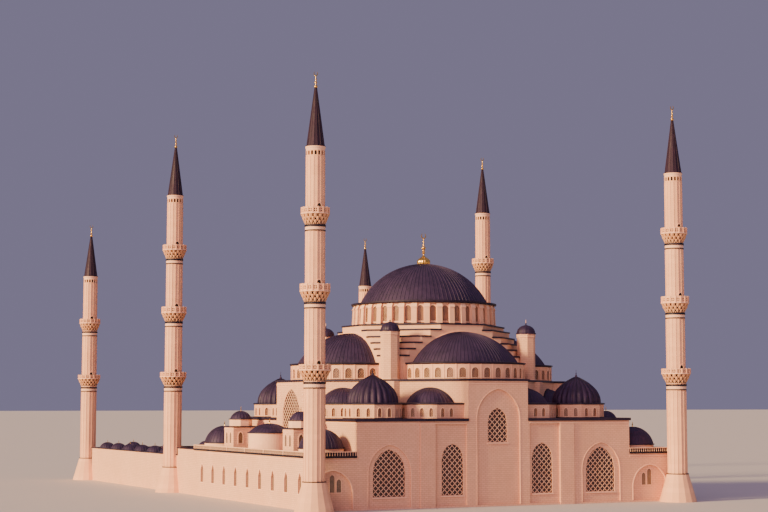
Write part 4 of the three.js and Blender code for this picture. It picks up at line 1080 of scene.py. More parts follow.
def lead_material(name, colour, sheets=False):
    """Lead sheet with a cloudy patina, and laps between the seams where the piece has its own map."""
    finish = Finish(name)
    patina = finish.group(patina_group())
    light = tinted(shade(colour, 1.45), (1.05, 0.94, 1.0))
    pale = tinted(shade(colour, 1.9), (1.12, 0.95, 0.92))
    base = finish.mix(patina["Clouds"], shade(colour, 0.72), light)
    result = finish.mix(finish.share(patina["Runs"], 0.55), base, pale)
    height = finish.share(patina["Specks"], 0.25)
    if sheets:
        sheet_map = finish.add("ShaderNodeUVMap", {"uv_map": "sheets"}).outputs[0]
        laps, tone = finish.bricks(sheet_map, 0.012, 1.0, 0.17)
        mauve = tinted(shade(colour, 1.25), (1.06, 0.92, 1.04))
        result = finish.mix(finish.share(tone, 0.4), result, mauve)
        result = finish.mix(finish.share(laps, 0.5), result, shade(colour, 0.45))
        height = finish.math("SUBTRACT", height, laps)
    finish.surface(Base_Color=result, Metallic=0.35)
    finish.roughness(patina["Clouds"], 0.22, 0.5)
    finish.emboss(height, 0.4, 0.004)
    return finish.material


def gilt_material(name, colour):
    """Gilded copper with faint hammering, darker in cloudy patches."""
    finish = Finish(name)
    patina = finish.group(patina_group(), Cloud_Size=0.8)
    tone = finish.mix(patina["Clouds"], colour, tinted(colour, (0.8, 0.62, 0.42)))
    finish.surface(Base_Color=tone, Metallic=1.0)
    finish.roughness(patina["Clouds"], 0.2, 0.2)
    finish.emboss(patina["Specks"], 0.15, 0.002)
    return finish.material


def pane_material(name, colour, dust):
    """Window glass in a dark colour that paints in the shade of the unlit inside behind it, with dust in
    patches and streaks.
    """
    finish = Finish(name)
    weather = finish.group(weather_group(), Streak_Width=0.4, Stain_Size=1.2)
    dusty = tinted(colour, dust)
    tone = finish.mix(weather["Stains"], colour, dusty)
    streaked = finish.mix(finish.share(weather["Streaks"], 0.4), tone, shade(dusty, 1.25))
    finish.surface(Base_Color=streaked, Coat_Weight=0.3)
    finish.roughness(weather["Stains"], 0.25, 0.18)
    return finish.material


def floor_material(name, colour):
    finish = Finish(name)
    cloud = finish.noise(finish.add("ShaderNodeTexCoord").outputs["Object"], 0.3, 2.0)
    finish.surface(Base_Color=finish.mix(cloud, shade(colour, 0.97), colour), Roughness=0.9)
    return finish.material


# Each finish: its maker, the colour that it starts from, a tint, and the maker's other values
WHITE = (1, 1, 1)
FINISHES = {
    "lead_sheet": (lead_material, "lead", WHITE, {"sheets": True}),
    "cone_lead": (lead_material, "lead", (0.75, 0.5, 0.45), {"sheets": True}),
    "gilt": (gilt_material, "gilt", WHITE, {}),
    "window_pane": (pane_material, "pane", WHITE, {"dust": (1.5, 1.35, 1.15)}),
    # The glass behind the lattices is near-black: painted shade of the unlit hall.
    "dark_glass": (pane_material, "glass", WHITE, {"dust": (1.6, 1.3, 1.2)}),
}
# carved_stone is tinted darker than the walls' stone: painted shade for the cells of the minarets' carving,
# also used on the small windows' nets.
# shadow_stone is near-black: painted shade in the minarets' hollows, slots, doorways and the gaps behind
# their carving and parapets.
CARVED = {"shadow_stone": (0.02, 0.014, 0.012), "carved_stone": (0.88, 0.8, 0.64)}
CARVED |= {"net_stone": (0.8, 0.65, 0.55), "lattice_stone": (1.12, 1.2, 1.25)}
# dark_band is near-black lead: the minarets' dark rings, and painted shade behind and under the gallery
# balustrades.
# lead_plain is darker than the sheet lead: painted shade of the corner domes' deep gores, shared by the
# decks, tower caps and upper roof.
LEADS = {"lead_plain": (0.7, 0.62, 0.75), "lead_edge": (0.55, 0.55, 0.55), "dark_band": (0.3, 0.3, 0.3)}
FINISHES |= {name: (carved_material, "stone", tint, {}) for name, tint in CARVED.items()}
FINISHES |= {name: (lead_material, "lead", tint, {}) for name, tint in LEADS.items()}

# Stone in courses: a tint, then the height of a course (None for the setting), the length of a
# block, the width and depth of a joint, and how stained it is
COURSED = {
    "limestone": (WHITE, None, 1.2, 0.05, 1.6, 0.35),
    "minaret_stone": ((1.04, 1.0, 0.93), 1.25, 40.0, 0.03, 0.15, 0.25),
    "drum_stone": ((1.05, 1.03, 1.0), 0.62, 1.6, 0.03, 0.7, 0.3),
    "pale_stone": ((1.12, 1.16, 1.2), 0.9, 2.0, 0.02, 0.4, 0.2),
    "paving": ((0.95, 0.95, 0.97), 1.2, 1.2, 0.03, 1.0, 0.35),
}
COURSE_VALUES = ("course", "length", "joint", "joint_depth", "stain")
for coursed, (tint, *values) in COURSED.items():
    FINISHES[coursed] = (stone_material, "stone", tint, dict(zip(COURSE_VALUES, values)))
PLAIN_FINISHES = {"great_arches": "drum_stone", "upper_roof": "lead_plain"}
PLAIN_FINISHES |= {name: "paving" for name in ("hall_floor", "court_floor")}
# The hall's glass gets the near-black glass finish: painted shade of the hall behind it.
PLAIN_FINISHES |= {f"{way}_glass": "dark_glass" for way, _ in WAYS}


@functools.cache
def finish_named(name):
    """The named finish, made when it is first asked for."""
    maker, base, tint, values = FINISHES[name]
    return maker(name, tinted(getattr(bpy.context.scene.mosque_colours, base), tint), **values)


# Settings


def length_setting(name, description, default, least):
    limits = {"min": least, "unit": "LENGTH"}
    return bpy.props.FloatProperty(name=name, description=description, default=default, **limits)


def count_setting(name, description, default, least):
    return bpy.props.IntProperty(name=name, description=description, default=default, min=least)


def colour_setting(name, description, default):
    limits = {"subtype": "COLOR", "min": 0, "max": 1}
    return bpy.props.FloatVectorProperty(name=name, description=description, default=default, **limits)


class MosqueSizes(bpy.types.PropertyGroup):
    """Sizes of the real building, in metres."""

    course: length_setting("Course", "Height of one course of the walls", 0.5, 0.2)
    dome_seams: count_setting("Dome seams", "Standing seams round the main dome", 92, 24)
    half_dome_seams: count_setting("Half dome seams", "Standing seams on each half dome", 44, 12)
    lattice_width: length_setting("Lattice width", "Width of one diamond of the lattices", 1.46, 0.4)
    lattice_height: length_setting("Lattice height", "Height of one diamond of the lattices", 1.47, 0.4)
    lattice_bar: length_setting("Lattice bar", "Width of the window lattices' bars", 0.14, 0.05)
    baluster_pitch: length_setting("Baluster pitch", "Distance between balusters", 0.66, 0.3)


class MosqueColours(bpy.types.PropertyGroup):
    """Base colours of the finishes."""

    stone: colour_setting("Stone", "Limestone of the walls", (0.88, 0.53, 0.365))
    lead: colour_setting("Lead", "Lead of the domes", (0.035, 0.022, 0.064))
    gilt: colour_setting("Gilt", "Gilding of the finials", (0.9, 0.6, 0.16))
    # Both glass colours are dark to paint in the shade of the unlit insides behind the windows.
    pane: colour_setting("Pane", "Glass of the small windows", (0.14, 0.095, 0.07))
    glass: colour_setting("Glass", "Glass behind the lattices", (0.028, 0.007, 0.008))


# Operators


class MosquePiece(bpy.types.Operator):
    """Base of the operators that build a piece."""

    bl_options = {"REGISTER", "UNDO"}

    def execute(self, context):
        self.build(context.scene.mosque_sizes)
        return {"FINISHED"}


class MOSQUE_OT_stage(MosquePiece):
    """Add the floor, the lights and the camera."""

    bl_idname = "mosque.stage"
    bl_label = "Stage"

    def build(self, sizes):
        plan = rectangle(-FLOOR_REACH, -FLOOR_REACH, FLOOR_REACH, FLOOR_REACH)
        form = Shape([(x, y, 0) for x, y in plan], [range(len(plan))])
        floor = linked("studio_floor", plain_mesh("studio_floor", form))
        floor.data.materials.append(floor_material("studio_floor", FLOOR_COLOUR))
        for name, sun in SUNS.items():
            light = bpy.data.lights.new(name, "SUN")
            light.energy = sun["strength"]
            light.angle = math.radians(sun["size"])
            light.color = sun["colour"]
            linked(name, light).rotation_euler = [math.radians(angle) for angle in sun["turn"]]
        world = bpy.data.worlds.new("studio")
        world.use_nodes = True
        backdrop = world.node_tree.nodes["Background"]
        backdrop.inputs["Color"].default_value = BACKDROP_COLOUR
        backdrop.inputs["Strength"].default_value = BACKDROP_STRENGTH
        bpy.context.scene.world = world
        lens = bpy.data.cameras.new("camera")
        lens.sensor_width = CAMERA_SENSOR
        lens.lens = CAMERA_LENS
        lens.clip_end = CAMERA_REACH
        camera = linked("camera", lens)
        camera.location = CAMERA_SPOT
        camera.rotation_euler = [math.radians(angle) for angle in CAMERA_TURN]
        bpy.context.scene.camera = camera


class MOSQUE_OT_plain_finishes(MosquePiece):
    """Give the parts whose solid shape is right their finishes."""

    bl_idname = "mosque.plain_finishes"
    bl_label = "Finishes of the walls"

    def build(self, sizes):
        for name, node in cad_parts.items():
            node.data.materials.clear()
            node.data.materials.append(finish_named(PLAIN_FINISHES.get(name, "limestone")))


class MOSQUE_OT_main_dome(MosquePiece):
    """Add the main dome with its seams, its rim and its gilt finial."""

    bl_idname = "mosque.main_dome"
    bl_label = "Main dome"

    def build(self, sizes):
        seams = sizes.dome_seams
        section = dome_section(DOME_RADIUS, DRUM_TOP, DOME_APEX, steps=26)
        dome = seamed_dome(section, seams, DOME_SHELL)
        piece("main_dome_leads", dome, "lead_sheet", ["main_dome"], True, ([(0, 0)], seams))
        rim = turned([(DOME_RADIUS + out, DRUM_TOP + up) for out, up in DOME_RIM], sides=96)
        piece("main_dome_rim", rim, "lead_edge")
        foot = DOME_APEX - 0.1
        bulb = [(radius, foot + height) for radius, height in MAIN_BULB]
        stem = finial_stem(bulb[-1][1] - 0.1, MAIN_BALLS, FINIAL_TOP, sides=20, lap=0.08, thick=0.18)
        finial = turned(bulb, 96, lobed(16, 0.08)).add(stem)
        piece("main_finial_gilt", finial, "gilt", ["main_finial"], True)


class MOSQUE_OT_main_drum(MosquePiece):
    """Add the main drum: arched windows between piers, and the lead cornice."""

    bl_idname = "mosque.main_drum"
    bl_label = "Main drum"

    def build(self, sizes):
        turn = TURN / DRUM_BAYS
        between = {"count": DRUM_BAYS, "first": turn / 2, "turn": turn}
        window = window_arch(DRUM_WINDOW)
        walls = [polygon_plan(radius, DRUM_BAYS) for radius in (DRUM_WALL, DRUM_INNER)]
        drum = wall_run(*walls, DRUM_FOOT, DRUM_TOP - 0.05, [[window]] * DRUM_BAYS)
        drum.add(copies(mirrored_hull(PIER_HALF, PIER_SECTION), **between))
        piece("main_drum_walls", drum, "drum_stone", ["main_drum"])
        caps = copies(mirrored_hull(PIER_CAP_HALF, PIER_CAP_SECTION), **between)
        piece("main_drum_pier_caps", caps, "pale_stone")
        surround = upright(window_arch(DRUM_WINDOW, grow=0.17), *DRUM_SURROUND_DEPTHS, [window])
        surrounds = copies(surround, DRUM_BAYS, radius=DRUM_WALL, turn=turn)
        piece("main_drum_surrounds", surrounds, "pale_stone")
        add_panes("main_drum_panes", DRUM_WINDOW, DRUM_BAYS, DRUM_WALL - PANE_DEPTH, 0, turn, [Matrix()])
        edges = swept(polygon_plan(DRUM_WALL, 2 * DRUM_BAYS), DRUM_CORNICE, closed=True)
        edges.add(swept(polygon_plan(DRUM_PIER, DRUM_BAYS), DRUM_FLASHING, closed=True))
        piece("main_drum_edges", edges, "lead_edge")


def add_panes(name, window, count, radius, first, turn, places):
    """Glass of a ring of windows, with a fine lattice of lead in front of it."""
    pane = upright(window_arch(window, grow=0.05, steps=4), *DRUM_PANE_DEPTHS)
    pitch = window[0] * 0.8
    paths = lattice_paths(window_arch(window, steps=4), pitch, pitch, DRUM_NET_DEPTH)
    net = bars(paths, width=0.05, depth=0.05)
    for label, form, finish in ((name, pane, "window_pane"), (name + "_net", net, "net_stone")):
        circle = copies(form, count, radius, first, turn)
        every = Shape()
        for place in places:
            every.add(circle, place)
        piece(label, every, finish)


class MOSQUE_OT_great_arches(MosquePiece):
    """Add the lead copings on the steps of the great arches."""

    bl_idname = "mosque.great_arches"
    bl_label = "Step copings"

    def build(self, sizes):
        copings = Shape()
        for (half, top), (following, _) in zip(STEPS, STEPS[1:]):
            for x, y in ((1, 1), (-1, 1), (-1, -1), (1, -1)):
                copings.add(step_coping(half, following, top), flipped(x, y))
        half, top = STEPS[-1]
        plan = octagon(half + COPING_LIP, GABLE + COPING_LIP)
        hole = polygon_plan(DRUM_PIER - 0.2, DRUM_BAYS)
        copings.add(raised(plan, top - COPING_DROP, top + COPING_RISE, [hole]))
        piece("great_arch_copings", copings, "lead_edge")
        centre, radius = GREAT_ARCH["centre"], GREAT_ARCH["radius"]
        start = math.acos(GREAT_ARCH["half"] / radius)
        steps = 32
        angles = [start + (math.pi - 2 * start) * step / steps for step in range(steps + 1)]
        arc = [(radius * math.cos(angle), centre + radius * math.sin(angle)) for angle in angles]
        crown = [(x, -GABLE - GREAT_ARCH["proud"], z) for x, z in arc]
        rims = Shape()
        for _, turn in WAYS:
            rims.add(bars([crown], width=0.35, depth=0.4), turned_by(turn))
        piece("great_arch_rims", rims, "pale_stone")


def octagon(half, reach):
    """Plan points of a square with cut corners: half is where a side ends, reach is how far out it lies."""
    front_and_right = [(-half, -reach), (half, -reach), (reach, -half), (reach, half)]
    return front_and_right + [(-x, -y) for x, y in front_and_right]


def step_coping(half, following, top):
    """The lead on the tread of one step, over the cut corner to the right of the rear gable."""
    lip = COPING_LIP
    near = [(following - lip, GABLE - lip), (following - lip, GABLE + lip), (half + lip / 2, GABLE + lip)]
    return raised(near + [(y, x) for x, y in reversed(near)], top - COPING_DROP, top + COPING_RISE)


class MOSQUE_OT_half_domes(MosquePiece):
    """Add the four half domes on their drums of arched windows."""

    bl_idname = "mosque.half_domes"
    bl_label = "Half domes"

    def build(self, sizes):
        step = math.pi / HALF_BAYS
        first = -QUARTER + step / 2
        reach = 1 / math.cos(step / 2)
        angles = [-QUARTER + step * index for index in range(HALF_BAYS + 1)]
        radii = (HALF_DRUM_OUTER * reach, HALF_DRUM_INNER * reach)
        outer, inner = ([on_circle(radius, angle, 0)[:2] for angle in angles] for radius in radii)
        holes = [[window_arch(HALF_WINDOW)]] * HALF_BAYS
        drum = wall_run(outer, inner, UPPER_DECK, HALF_DRUM_TOP - 0.02, holes)
        hole = window_arch(HALF_SURROUND_HOLE)
        surround = upright(window_arch(HALF_SURROUND), *HALF_SURROUND_DEPTHS, [hole])
        surrounds = copies(surround, HALF_BAYS, HALF_DRUM_OUTER, first, step)
        front, back = -HALF_DRUM_OUTER * reach - 0.1, -HALF_DRUM_OUTER + 0.2
        pilaster = block(-0.16, 0.16, front, back, UPPER_DECK, HALF_PILASTER_TOP)
        drum.add(copies(pilaster, HALF_BAYS - 1, first=-QUARTER + step, turn=step))
        edges = swept(outer, HALF_CORNICE).add(swept(outer, HALF_FLASHING))
        seams = sizes.half_dome_seams
        section = dome_section(HALF_DOME_RADIUS, HALF_DRUM_TOP, HALF_DOME_APEX, steps=22)
        dome = seamed_dome(section, seams, HALF_DOME_SHELL, half=True)
        places = [turned_by(turn) @ moved(y=-HALF_CENTRE) for _, turn in WAYS]
        for (way, _), place in zip(WAYS, places):
            piece(f"half_drum_walls_{way}", drum.placed(place), "drum_stone", [f"half_drum_{way}"])
            piece(f"half_drum_surrounds_{way}", surrounds.placed(place), "pale_stone")
            piece(f"half_drum_edges_{way}", edges.placed(place), "lead_edge")
            node = f"half_dome_{way}"
            sheets = ([place.translation[:2]], 2 * seams)
            piece(f"half_dome_leads_{way}", dome.placed(place), "lead_sheet", [node], True, sheets)
        radius = HALF_DRUM_OUTER - PANE_DEPTH
        add_panes("half_drum_panes", HALF_WINDOW, HALF_BAYS, radius, first, step, places)


class MOSQUE_OT_weight_towers(MosquePiece):
    """Add the ribbed lead caps and the collars of the weight towers."""

    bl_idname = "mosque.weight_towers"
    bl_label = "Weight towers"

    def build(self, sizes):
        cap = turned(TOWER_CAP, 64, lobed(16, 0.035))
        rings = ring(*TOWER_COLLAR, TOWER_SIDES).add(ring(*TOWER_FOOT_RING, TOWER_SIDES))
        for corner, x, y in CORNERS:
            place = moved(-x * TOWER_CENTRE, -y * TOWER_CENTRE)
            piece(f"tower_cap_{corner}", cap.placed(place), "lead_plain", (), True)
            piece(f"tower_collar_{corner}", rings.placed(place), "pale_stone")


def along_diagonal(along, out):
    """A plan point of the front left diagonal wall, by distance along it and distance out of it."""
    middle = DIAGONAL_SUM / 2
    share = math.sqrt(0.5)
    return (-middle + (along - out) * share, -middle - (along + out) * share)


def small_arch(offset, grow=0.0):
    return window_arch(SMALL_WINDOW, offset, grow, steps=4)


def window_dress(lengths, centres):
    """Surrounds, panes and nets of the small windows on some plan lines."""
    surrounds, panes, nets = Shape(), Shape(), Shape()
    for (start, end), offsets in zip(lengths, centres):
        place = facet_place(start, end)
        for offset in offsets:
            hole = small_arch(offset)
            surround = upright(small_arch(offset, grow=0.16), *SMALL_SURROUND_DEPTHS, [hole])
            paths = lattice_paths(hole, SMALL_NET_PITCH, SMALL_NET_PITCH, SMALL_NET_DEPTH)
            surrounds.add(surround, place)
            panes.add(upright(small_arch(offset, grow=0.04), *SMALL_PANE_DEPTHS), place)
            nets.add(bars(paths, SMALL_NET_BAR, SMALL_NET_BAR), place)
    return surrounds, panes, nets


class MOSQUE_OT_diagonal_walls(MosquePiece):
    """Add the diagonal walls of the upper storey, each with two small half domes."""

    bl_idname = "mosque.diagonal_walls"
    bl_label = "Diagonal walls"

    def build(self, sizes):
        reach = BUTTRESS_REACH
        outline = [(BUTTRESS_HALF, -0.2), (BUTTRESS_HALF, 0), (BUTTRESS_HALF - reach, reach)]
        outline = [(-along, out) for along, out in outline] + outline[::-1]
        buttress = [along_diagonal(BUTTRESS_ALONG + along, out) for along, out in outline]
        wall = raised(diagonal_plan(), DECK_TOP, UPPER_TOP).add(raised(buttress, DECK_TOP, UPPER_TOP))
        section = dome_section(EXEDRA_RADIUS, EXEDRA_RIM, EXEDRA_APEX, steps=12)
        dome = seamed_dome(section, EXEDRA_SEAMS, half=True, **EXEDRA_SHEETS)
        dome = dome.placed(moved(y=EXEDRA_SETBACK))
        roll = bars([dome_roll()], EXEDRA_ROLL, EXEDRA_ROLL)
        exedrae = []
        for along, end, side in zip(EXEDRA_ALONG, (END_X, END_Y), (1, -1)):
            arm = (DIAGONAL_SUM - 2 * end) / math.sqrt(2) - abs(along)
            local = moved(*along_diagonal(along, 0)) @ turned_by(-QUARTER / 2)
            exedrae.append((local, exedra_parts(arm, side)))
        for corner, x, y in CORNERS:
            flip = flipped(x, y)
            places = [flip @ local for local, _ in exedrae]
            walls = wall.placed(flip)
            surrounds, panes, nets, edges, leads = (Shape() for _ in range(5))
            for place, (_, forms) in zip(places, exedrae):
                for whole, form in zip((walls, edges, surrounds, panes, nets), forms):
                    whole.add(form, place)
                edges.add(roll, place)
                leads.add(dome, place)
            spots = [(place @ Vector((0, EXEDRA_SETBACK, 0)))[:2] for place in places]
            piece(f"diagonal_walls_{corner}", walls, "limestone", [f"diagonal_wall_{corner}"])
            piece(f"small_half_dome_surrounds_{corner}", surrounds, "pale_stone")
            piece(f"small_half_dome_panes_{corner}", panes, "window_pane")
            piece(f"small_half_dome_nets_{corner}", nets, "carved_stone")
            piece(f"small_half_dome_edges_{corner}", edges, "lead_edge")
            sheets = (spots, 2 * EXEDRA_SEAMS)
            piece(f"small_half_dome_leads_{corner}", leads, "lead_sheet", (), True, sheets)


def diagonal_plan():
    """The plan of the front left diagonal wall with the sides of the two arms that it joins."""
    inner_sum = DIAGONAL_SUM - UPPER_WALL * math.sqrt(2)
    wall_x, wall_y = HALL_X - HALL_WALL, HALL_Y - HALL_WALL
    inside_x, inside_y = END_X - UPPER_WALL, END_Y - UPPER_WALL
    outside = [(-END_X, -wall_y), (-END_X, END_X - DIAGONAL_SUM)]
    outside += [(END_Y - DIAGONAL_SUM, -END_Y), (-wall_x, -END_Y)]
    inside = [(-wall_x, -inside_y), (inside_y - inner_sum, -inside_y)]
    inside += [(-inside_x, inside_x - inner_sum), (-inside_x, -wall_y)]
    return outside + inside


def exedra_plan(inset, arm, side):
    """A small half drum's plan from the diagonal wall round to the arm beside it, which cuts its
    last facet short. side is 1 with the arm on the right and -1 with it on the left."""
    face = EXEDRA_FACE - inset * math.tan(QUARTER / 4)
    reach = EXEDRA_FACE * (1 + math.sqrt(2)) - inset
    front = EXEDRA_REACH - inset
    shoulder = front - (reach - face)
    last = (arm - face + front) / 2
    plan = [(-reach, 0), (-reach, -shoulder), (-face, -front), (face, -front), (face + last, last - front)]
    return plan if side > 0 else mirrored(plan)


def exedra_parts(arm, side):
    """The drum, eaves and windows of one small half dome, drawn on a wall on y = 0."""
    outer = exedra_plan(0, arm, side)
    lengths = list(zip(outer, outer[1:]))
    centres = []
    for start, end in lengths:
        half = (Vector(end) - Vector(start)).length / 2
        towards = 1 if abs(start[0]) > abs(end[0]) else -1
        if start[1] == end[1]:
            centres.append([-EXEDRA_PITCH, 0, EXEDRA_PITCH])
        elif start[0] == end[0]:
            centres.append([])
        else:
            centres.append([towards * (half - distance) for distance in EXEDRA_SIDE_WINDOWS])
    holes = [[small_arch(offset) for offset in offsets] for offsets in centres]
    drum = wall_run(outer, exedra_plan(THIN_WALL, arm, side), DECK_TOP, EXEDRA_RIM, holes)
    return drum, swept(outer, EXEDRA_EAVES), *window_dress(lengths, centres)


def dome_roll():
    """The line where a small half dome meets the wall face on y = 0."""
    proud = 0.1
    back = EXEDRA_SETBACK + proud
    section = dome_section(EXEDRA_RADIUS + proud, EXEDRA_RIM, EXEDRA_APEX + proud, steps=24)
    side = [(math.sqrt(radius**2 - back**2), -proud, height) for radius, height in section if radius > back]
    return side + [(-x, y, z) for x, y, z in reversed(side)]


class MOSQUE_OT_corner_roofs(MosquePiece):
    """Add the corner roofs: lead decks, octagonal drums and lobed domes."""

    bl_idname = "mosque.corner_roofs"
    bl_label = "Corner roofs"

    def build(self, sizes):
        edge_x, edge_y = HALL_X + CORNICE_REACH, HALL_Y + CORNICE_REACH
        eaves = [(-edge_x, -END_Y), (-edge_x, -edge_y), (-END_X, -edge_y)]
        walls = [(-END_X, END_X - DIAGONAL_SUM), (END_Y - DIAGONAL_SUM, -END_Y)]
        deck = raised(eaves + walls, EAVES, DECK_TOP)
        fascia = swept(eaves, EAVES_FASCIA)
        radii = (CORNER_RADIUS, CORNER_RADIUS - THIN_WALL)
        outer, inner = (polygon_plan(radius, CORNER_SIDES, False) for radius in radii)
        centres = [(-CORNER_PITCH / 2, CORNER_PITCH / 2)] * CORNER_SIDES
        holes = [[small_arch(offset) for offset in offsets] for offsets in centres]
        drum = wall_run(outer, inner, DECK_TOP, EXEDRA_RIM, holes)
        surrounds, panes, nets = window_dress(zip(outer, outer[1:] + outer[:1]), centres)
        edges = swept(outer, CORNER_EAVES, closed=True).add(swept(outer, CORNER_FLASHING, closed=True))
        edges.add(bars(gore_valleys(), width=0.14, depth=0.1))
        profile = [(0, CORNER_SECTION[0][1]), *CORNER_SECTION, *CORNER_KNOB]
        melon = turned(profile, GORES * 8, lobed(GORES, GORE_DEPTH))
        for corner, x, y in CORNERS:
            flip = flipped(x, y)
            place = flip @ moved(-CORNER_CENTRE, -CORNER_CENTRE)
            node = f"corner_dome_{corner}"
            piece(f"corner_deck_{corner}", deck.placed(flip), "lead_plain", [node])
            piece(f"corner_drum_{corner}", drum.placed(place), "limestone", [node])
            piece(f"corner_surrounds_{corner}", surrounds.placed(place), "pale_stone")
            piece(f"corner_panes_{corner}", panes.placed(place), "window_pane")
            piece(f"corner_nets_{corner}", nets.placed(place), "net_stone")
            piece(f"corner_edges_{corner}", edges.placed(place).add(fascia, flip), "lead_edge")
            # The melon's darkened lead is painted shade of its gores.
            piece(f"corner_melon_{corner}", melon.placed(place), "lead_plain", [node], True)
        arm_x, arm_y = END_X + CORNICE_REACH, END_Y + CORNICE_REACH
        cut = DIAGONAL_SUM + CORNICE_REACH * math.sqrt(2)
        quarter = [(arm_x, -edge_y), (arm_x, arm_x - cut), (cut - arm_y, -arm_y), (edge_x, -arm_y)]
        right = quarter + [(x, -y) for x, y in reversed(quarter)]
        plan = right + [(-x, -y) for x, y in right]
        piece("upper_roof_edges", swept(plan, UPPER_FASCIA, closed=True), "lead_edge")


def gore_valleys():
    """Lines down the valleys between the gores of a corner dome."""
    section = [(radius * (1 - GORE_DEPTH), height + 0.03) for radius, height in CORNER_SECTION[1:-1]]
    angles = [TURN * index / GORES for index in range(GORES)]
    return [[on_circle(radius, angle, height) for radius, height in section] for angle in angles]


class MOSQUE_OT_hall_walls(MosquePiece):
    """Add the lattices, surrounds and mouldings of the hall's walls."""

    bl_idname = "mosque.hall_walls"
    bl_label = "Hall walls"

    def build(self, sizes):
        net, trims, panes = self.dressed(sizes, FRONT_WINDOWS, FRONT_RECESSES)
        side_net, side_trims, side_panes = self.dressed(sizes, SIDE_WINDOWS, [], steps=10)
        rear_trims = Shape().add(trims)
        far, near, reach = PILASTER_FAR, PILASTER_NEAR, PILASTER_REACH
        half = [(-HALL_X, 0), (-far, 0), (-far, -reach), (-near, -reach), (-near, 0), (-BAY_EDGE, 0)]
        self.add_mouldings(trims, half, END_X)
        self.add_mouldings(rear_trims, [(-HALL_X, 0), (-BAY_EDGE, 0)], END_X)
        self.add_mouldings(side_trims, [(-HALL_Y, 0), (-END_Y, 0)], END_Y)
        self.add_relief(side_trims)
        trims_of = {"front": trims, "rear": rear_trims}
        for way, turn in WAYS:
            long_side = way in ("left", "right")
            place = turned_by(turn) @ moved(y=-HALL_X if long_side else -HALL_Y)
            piece(f"{way}_lattices", (side_net if long_side else net).placed(place), "lattice_stone")
            piece(f"{way}_mouldings", trims_of.get(way, side_trims).placed(place), "pale_stone")
            # Near-black glass: painted shade of the unlit hall.
            piece(f"{way}_panes", (side_panes if long_side else panes).placed(place), "dark_glass")

    def add_mouldings(self, trims, half, top_half):
        """A moulding under the eaves on both sides of the raised middle, and one across its top."""
        for path in (half, mirrored(half)):
            trims.add(swept(path, HALL_MOULDING))
        trims.add(swept([(-top_half, 0), (top_half, 0)], TOP_MOULDING))

    def dressed(self, sizes, windows, recesses, steps=6):
        """Lattices with their crossings, and mouldings round the arches, for a wall that faces -y."""
        net, trims, panes = Shape(), Shape(), Shape()
        bar = sizes.lattice_bar
        for middle, half, sill, spring, apex, depth in windows:
            outline = arch(middle, half, sill, spring, apex, steps)
            paths = lattice_paths(outline, sizes.lattice_width, sizes.lattice_height, depth)
            net.add(bars(paths, bar, LATTICE_DEPTH))
            rim = [(x, depth, z) for x, z in outline]
            net.add(bars([rim + rim[:1]], bar, LATTICE_RIM_DEPTH))
            panes.add(upright(outline, *(depth + behind for behind in PANE_BEHIND)))
            sides = (middle - half - LEDGE_LIP, middle + half + LEDGE_LIP)
            depths = [depth + behind for behind in LEDGE_DEPTHS]
            levels = [sill + above for above in LEDGE_LEVELS]
            trims.add(block(*sides, *depths, *levels))
        for recess in recesses:
            outline = arch(*recess)
            trims.add(arch_bar(outline[1:] + outline[:1], RECESS_BAR, RECESS_BAR))
        return net, trims, panes

    def add_relief(self, trims):
        """A small raised panel with two diamonds on each side of the big window's head."""
        wide, tall = RELIEF_DIAMOND
        for sign in (-1, 1):
            place = moved(sign * RELIEF_MIDDLE)
            trims.add(upright(RELIEF_PANEL, *RELIEF_DEPTHS, [RELIEF_PANEL_HOLE]), place)
            for z in RELIEF_LEVELS:
                diamond = [(-wide, z), (0, z - tall), (wide, z), (0, z + tall)]
                trims.add(upright(diamond, *RELIEF_DIAMOND_DEPTHS), place)


def arch_bar(outline, width, depth):
    """A moulding along some points of an arch, on the face of its wall."""
    return bars([[(x, ARCH_BAR_MIDDLE, z) for x, z in outline]], width, depth)


def balustrade(start, end, low, high, pitch):
    """Posts and rails on both faces of a parapet that runs along a plan line."""
    length = (Vector(end) - Vector(start)).length
    count = max(int(length / pitch), 2)
    step = length / count
    profile = [(radius, low + (high - low) * share + above) for radius, share, above in POST]
    posts = copies(turned(profile, POST_SIDES), count, step=(step, 0, 0))
    half = STOUT_POST_HALF
    stout = block(-half, half, -half, half, low, high + STOUT_POST_RISE)
    stout_step = (step * STOUT_POST_SPACING, 0, 0)
    stouts = copies(stout, count // STOUT_POST_SPACING + 1, step=stout_step)
    rail = block(-length / 2, length / 2, *RAIL_DEPTHS, *(high + above for above in RAIL_LEVELS))
    rail.add(posts, moved(-length / 2 + step / 2, POST_LINE))
    rail.add(stouts, moved(-length / 2 + half, STOUT_POST_LINE))
    return rail.placed(facet_place(start, end))


def parapet_back(start, end, low, high):
    """The dark face behind a balustrade's posts: painted shade in the gaps between them."""
    half = (Vector(end) - Vector(start)).length / 2
    return block(-half, half, *PARAPET_BACK_DEPTHS, low, high).placed(facet_place(start, end))


class RoofDomes:
    """Small leaded domes with their drums, rims and spikes, gathered by finish."""

    def __init__(self):
        self.leads, self.trims, self.edges, self.gilt = (Shape() for _ in range(4))
        self.spots = []

    def add(self, place, radius, rim, apex, seams, steps):
        section = dome_section(radius, rim, apex, steps)
        self.leads.add(seamed_dome(section, seams, **ROOF_SHEETS), place)
        self.spots.append(place.translation[:2])

    def add_round(self, place, dome, deck, style):
        radius, rim, apex, seams = dome
        inside, sides = radius - style["lap"], style["sides"]
        self.add(place, radius, rim, apex, seams, style["steps"])
        self.trims.add(ring(inside, radius + 0.02, deck, rim - 0.1, sides), place)
        self.edges.add(ring(inside, radius + style["lip"], rim - 0.12, rim + style["edge"], sides), place)
        self.gilt.add(spike(apex, *style["spike"]), place)


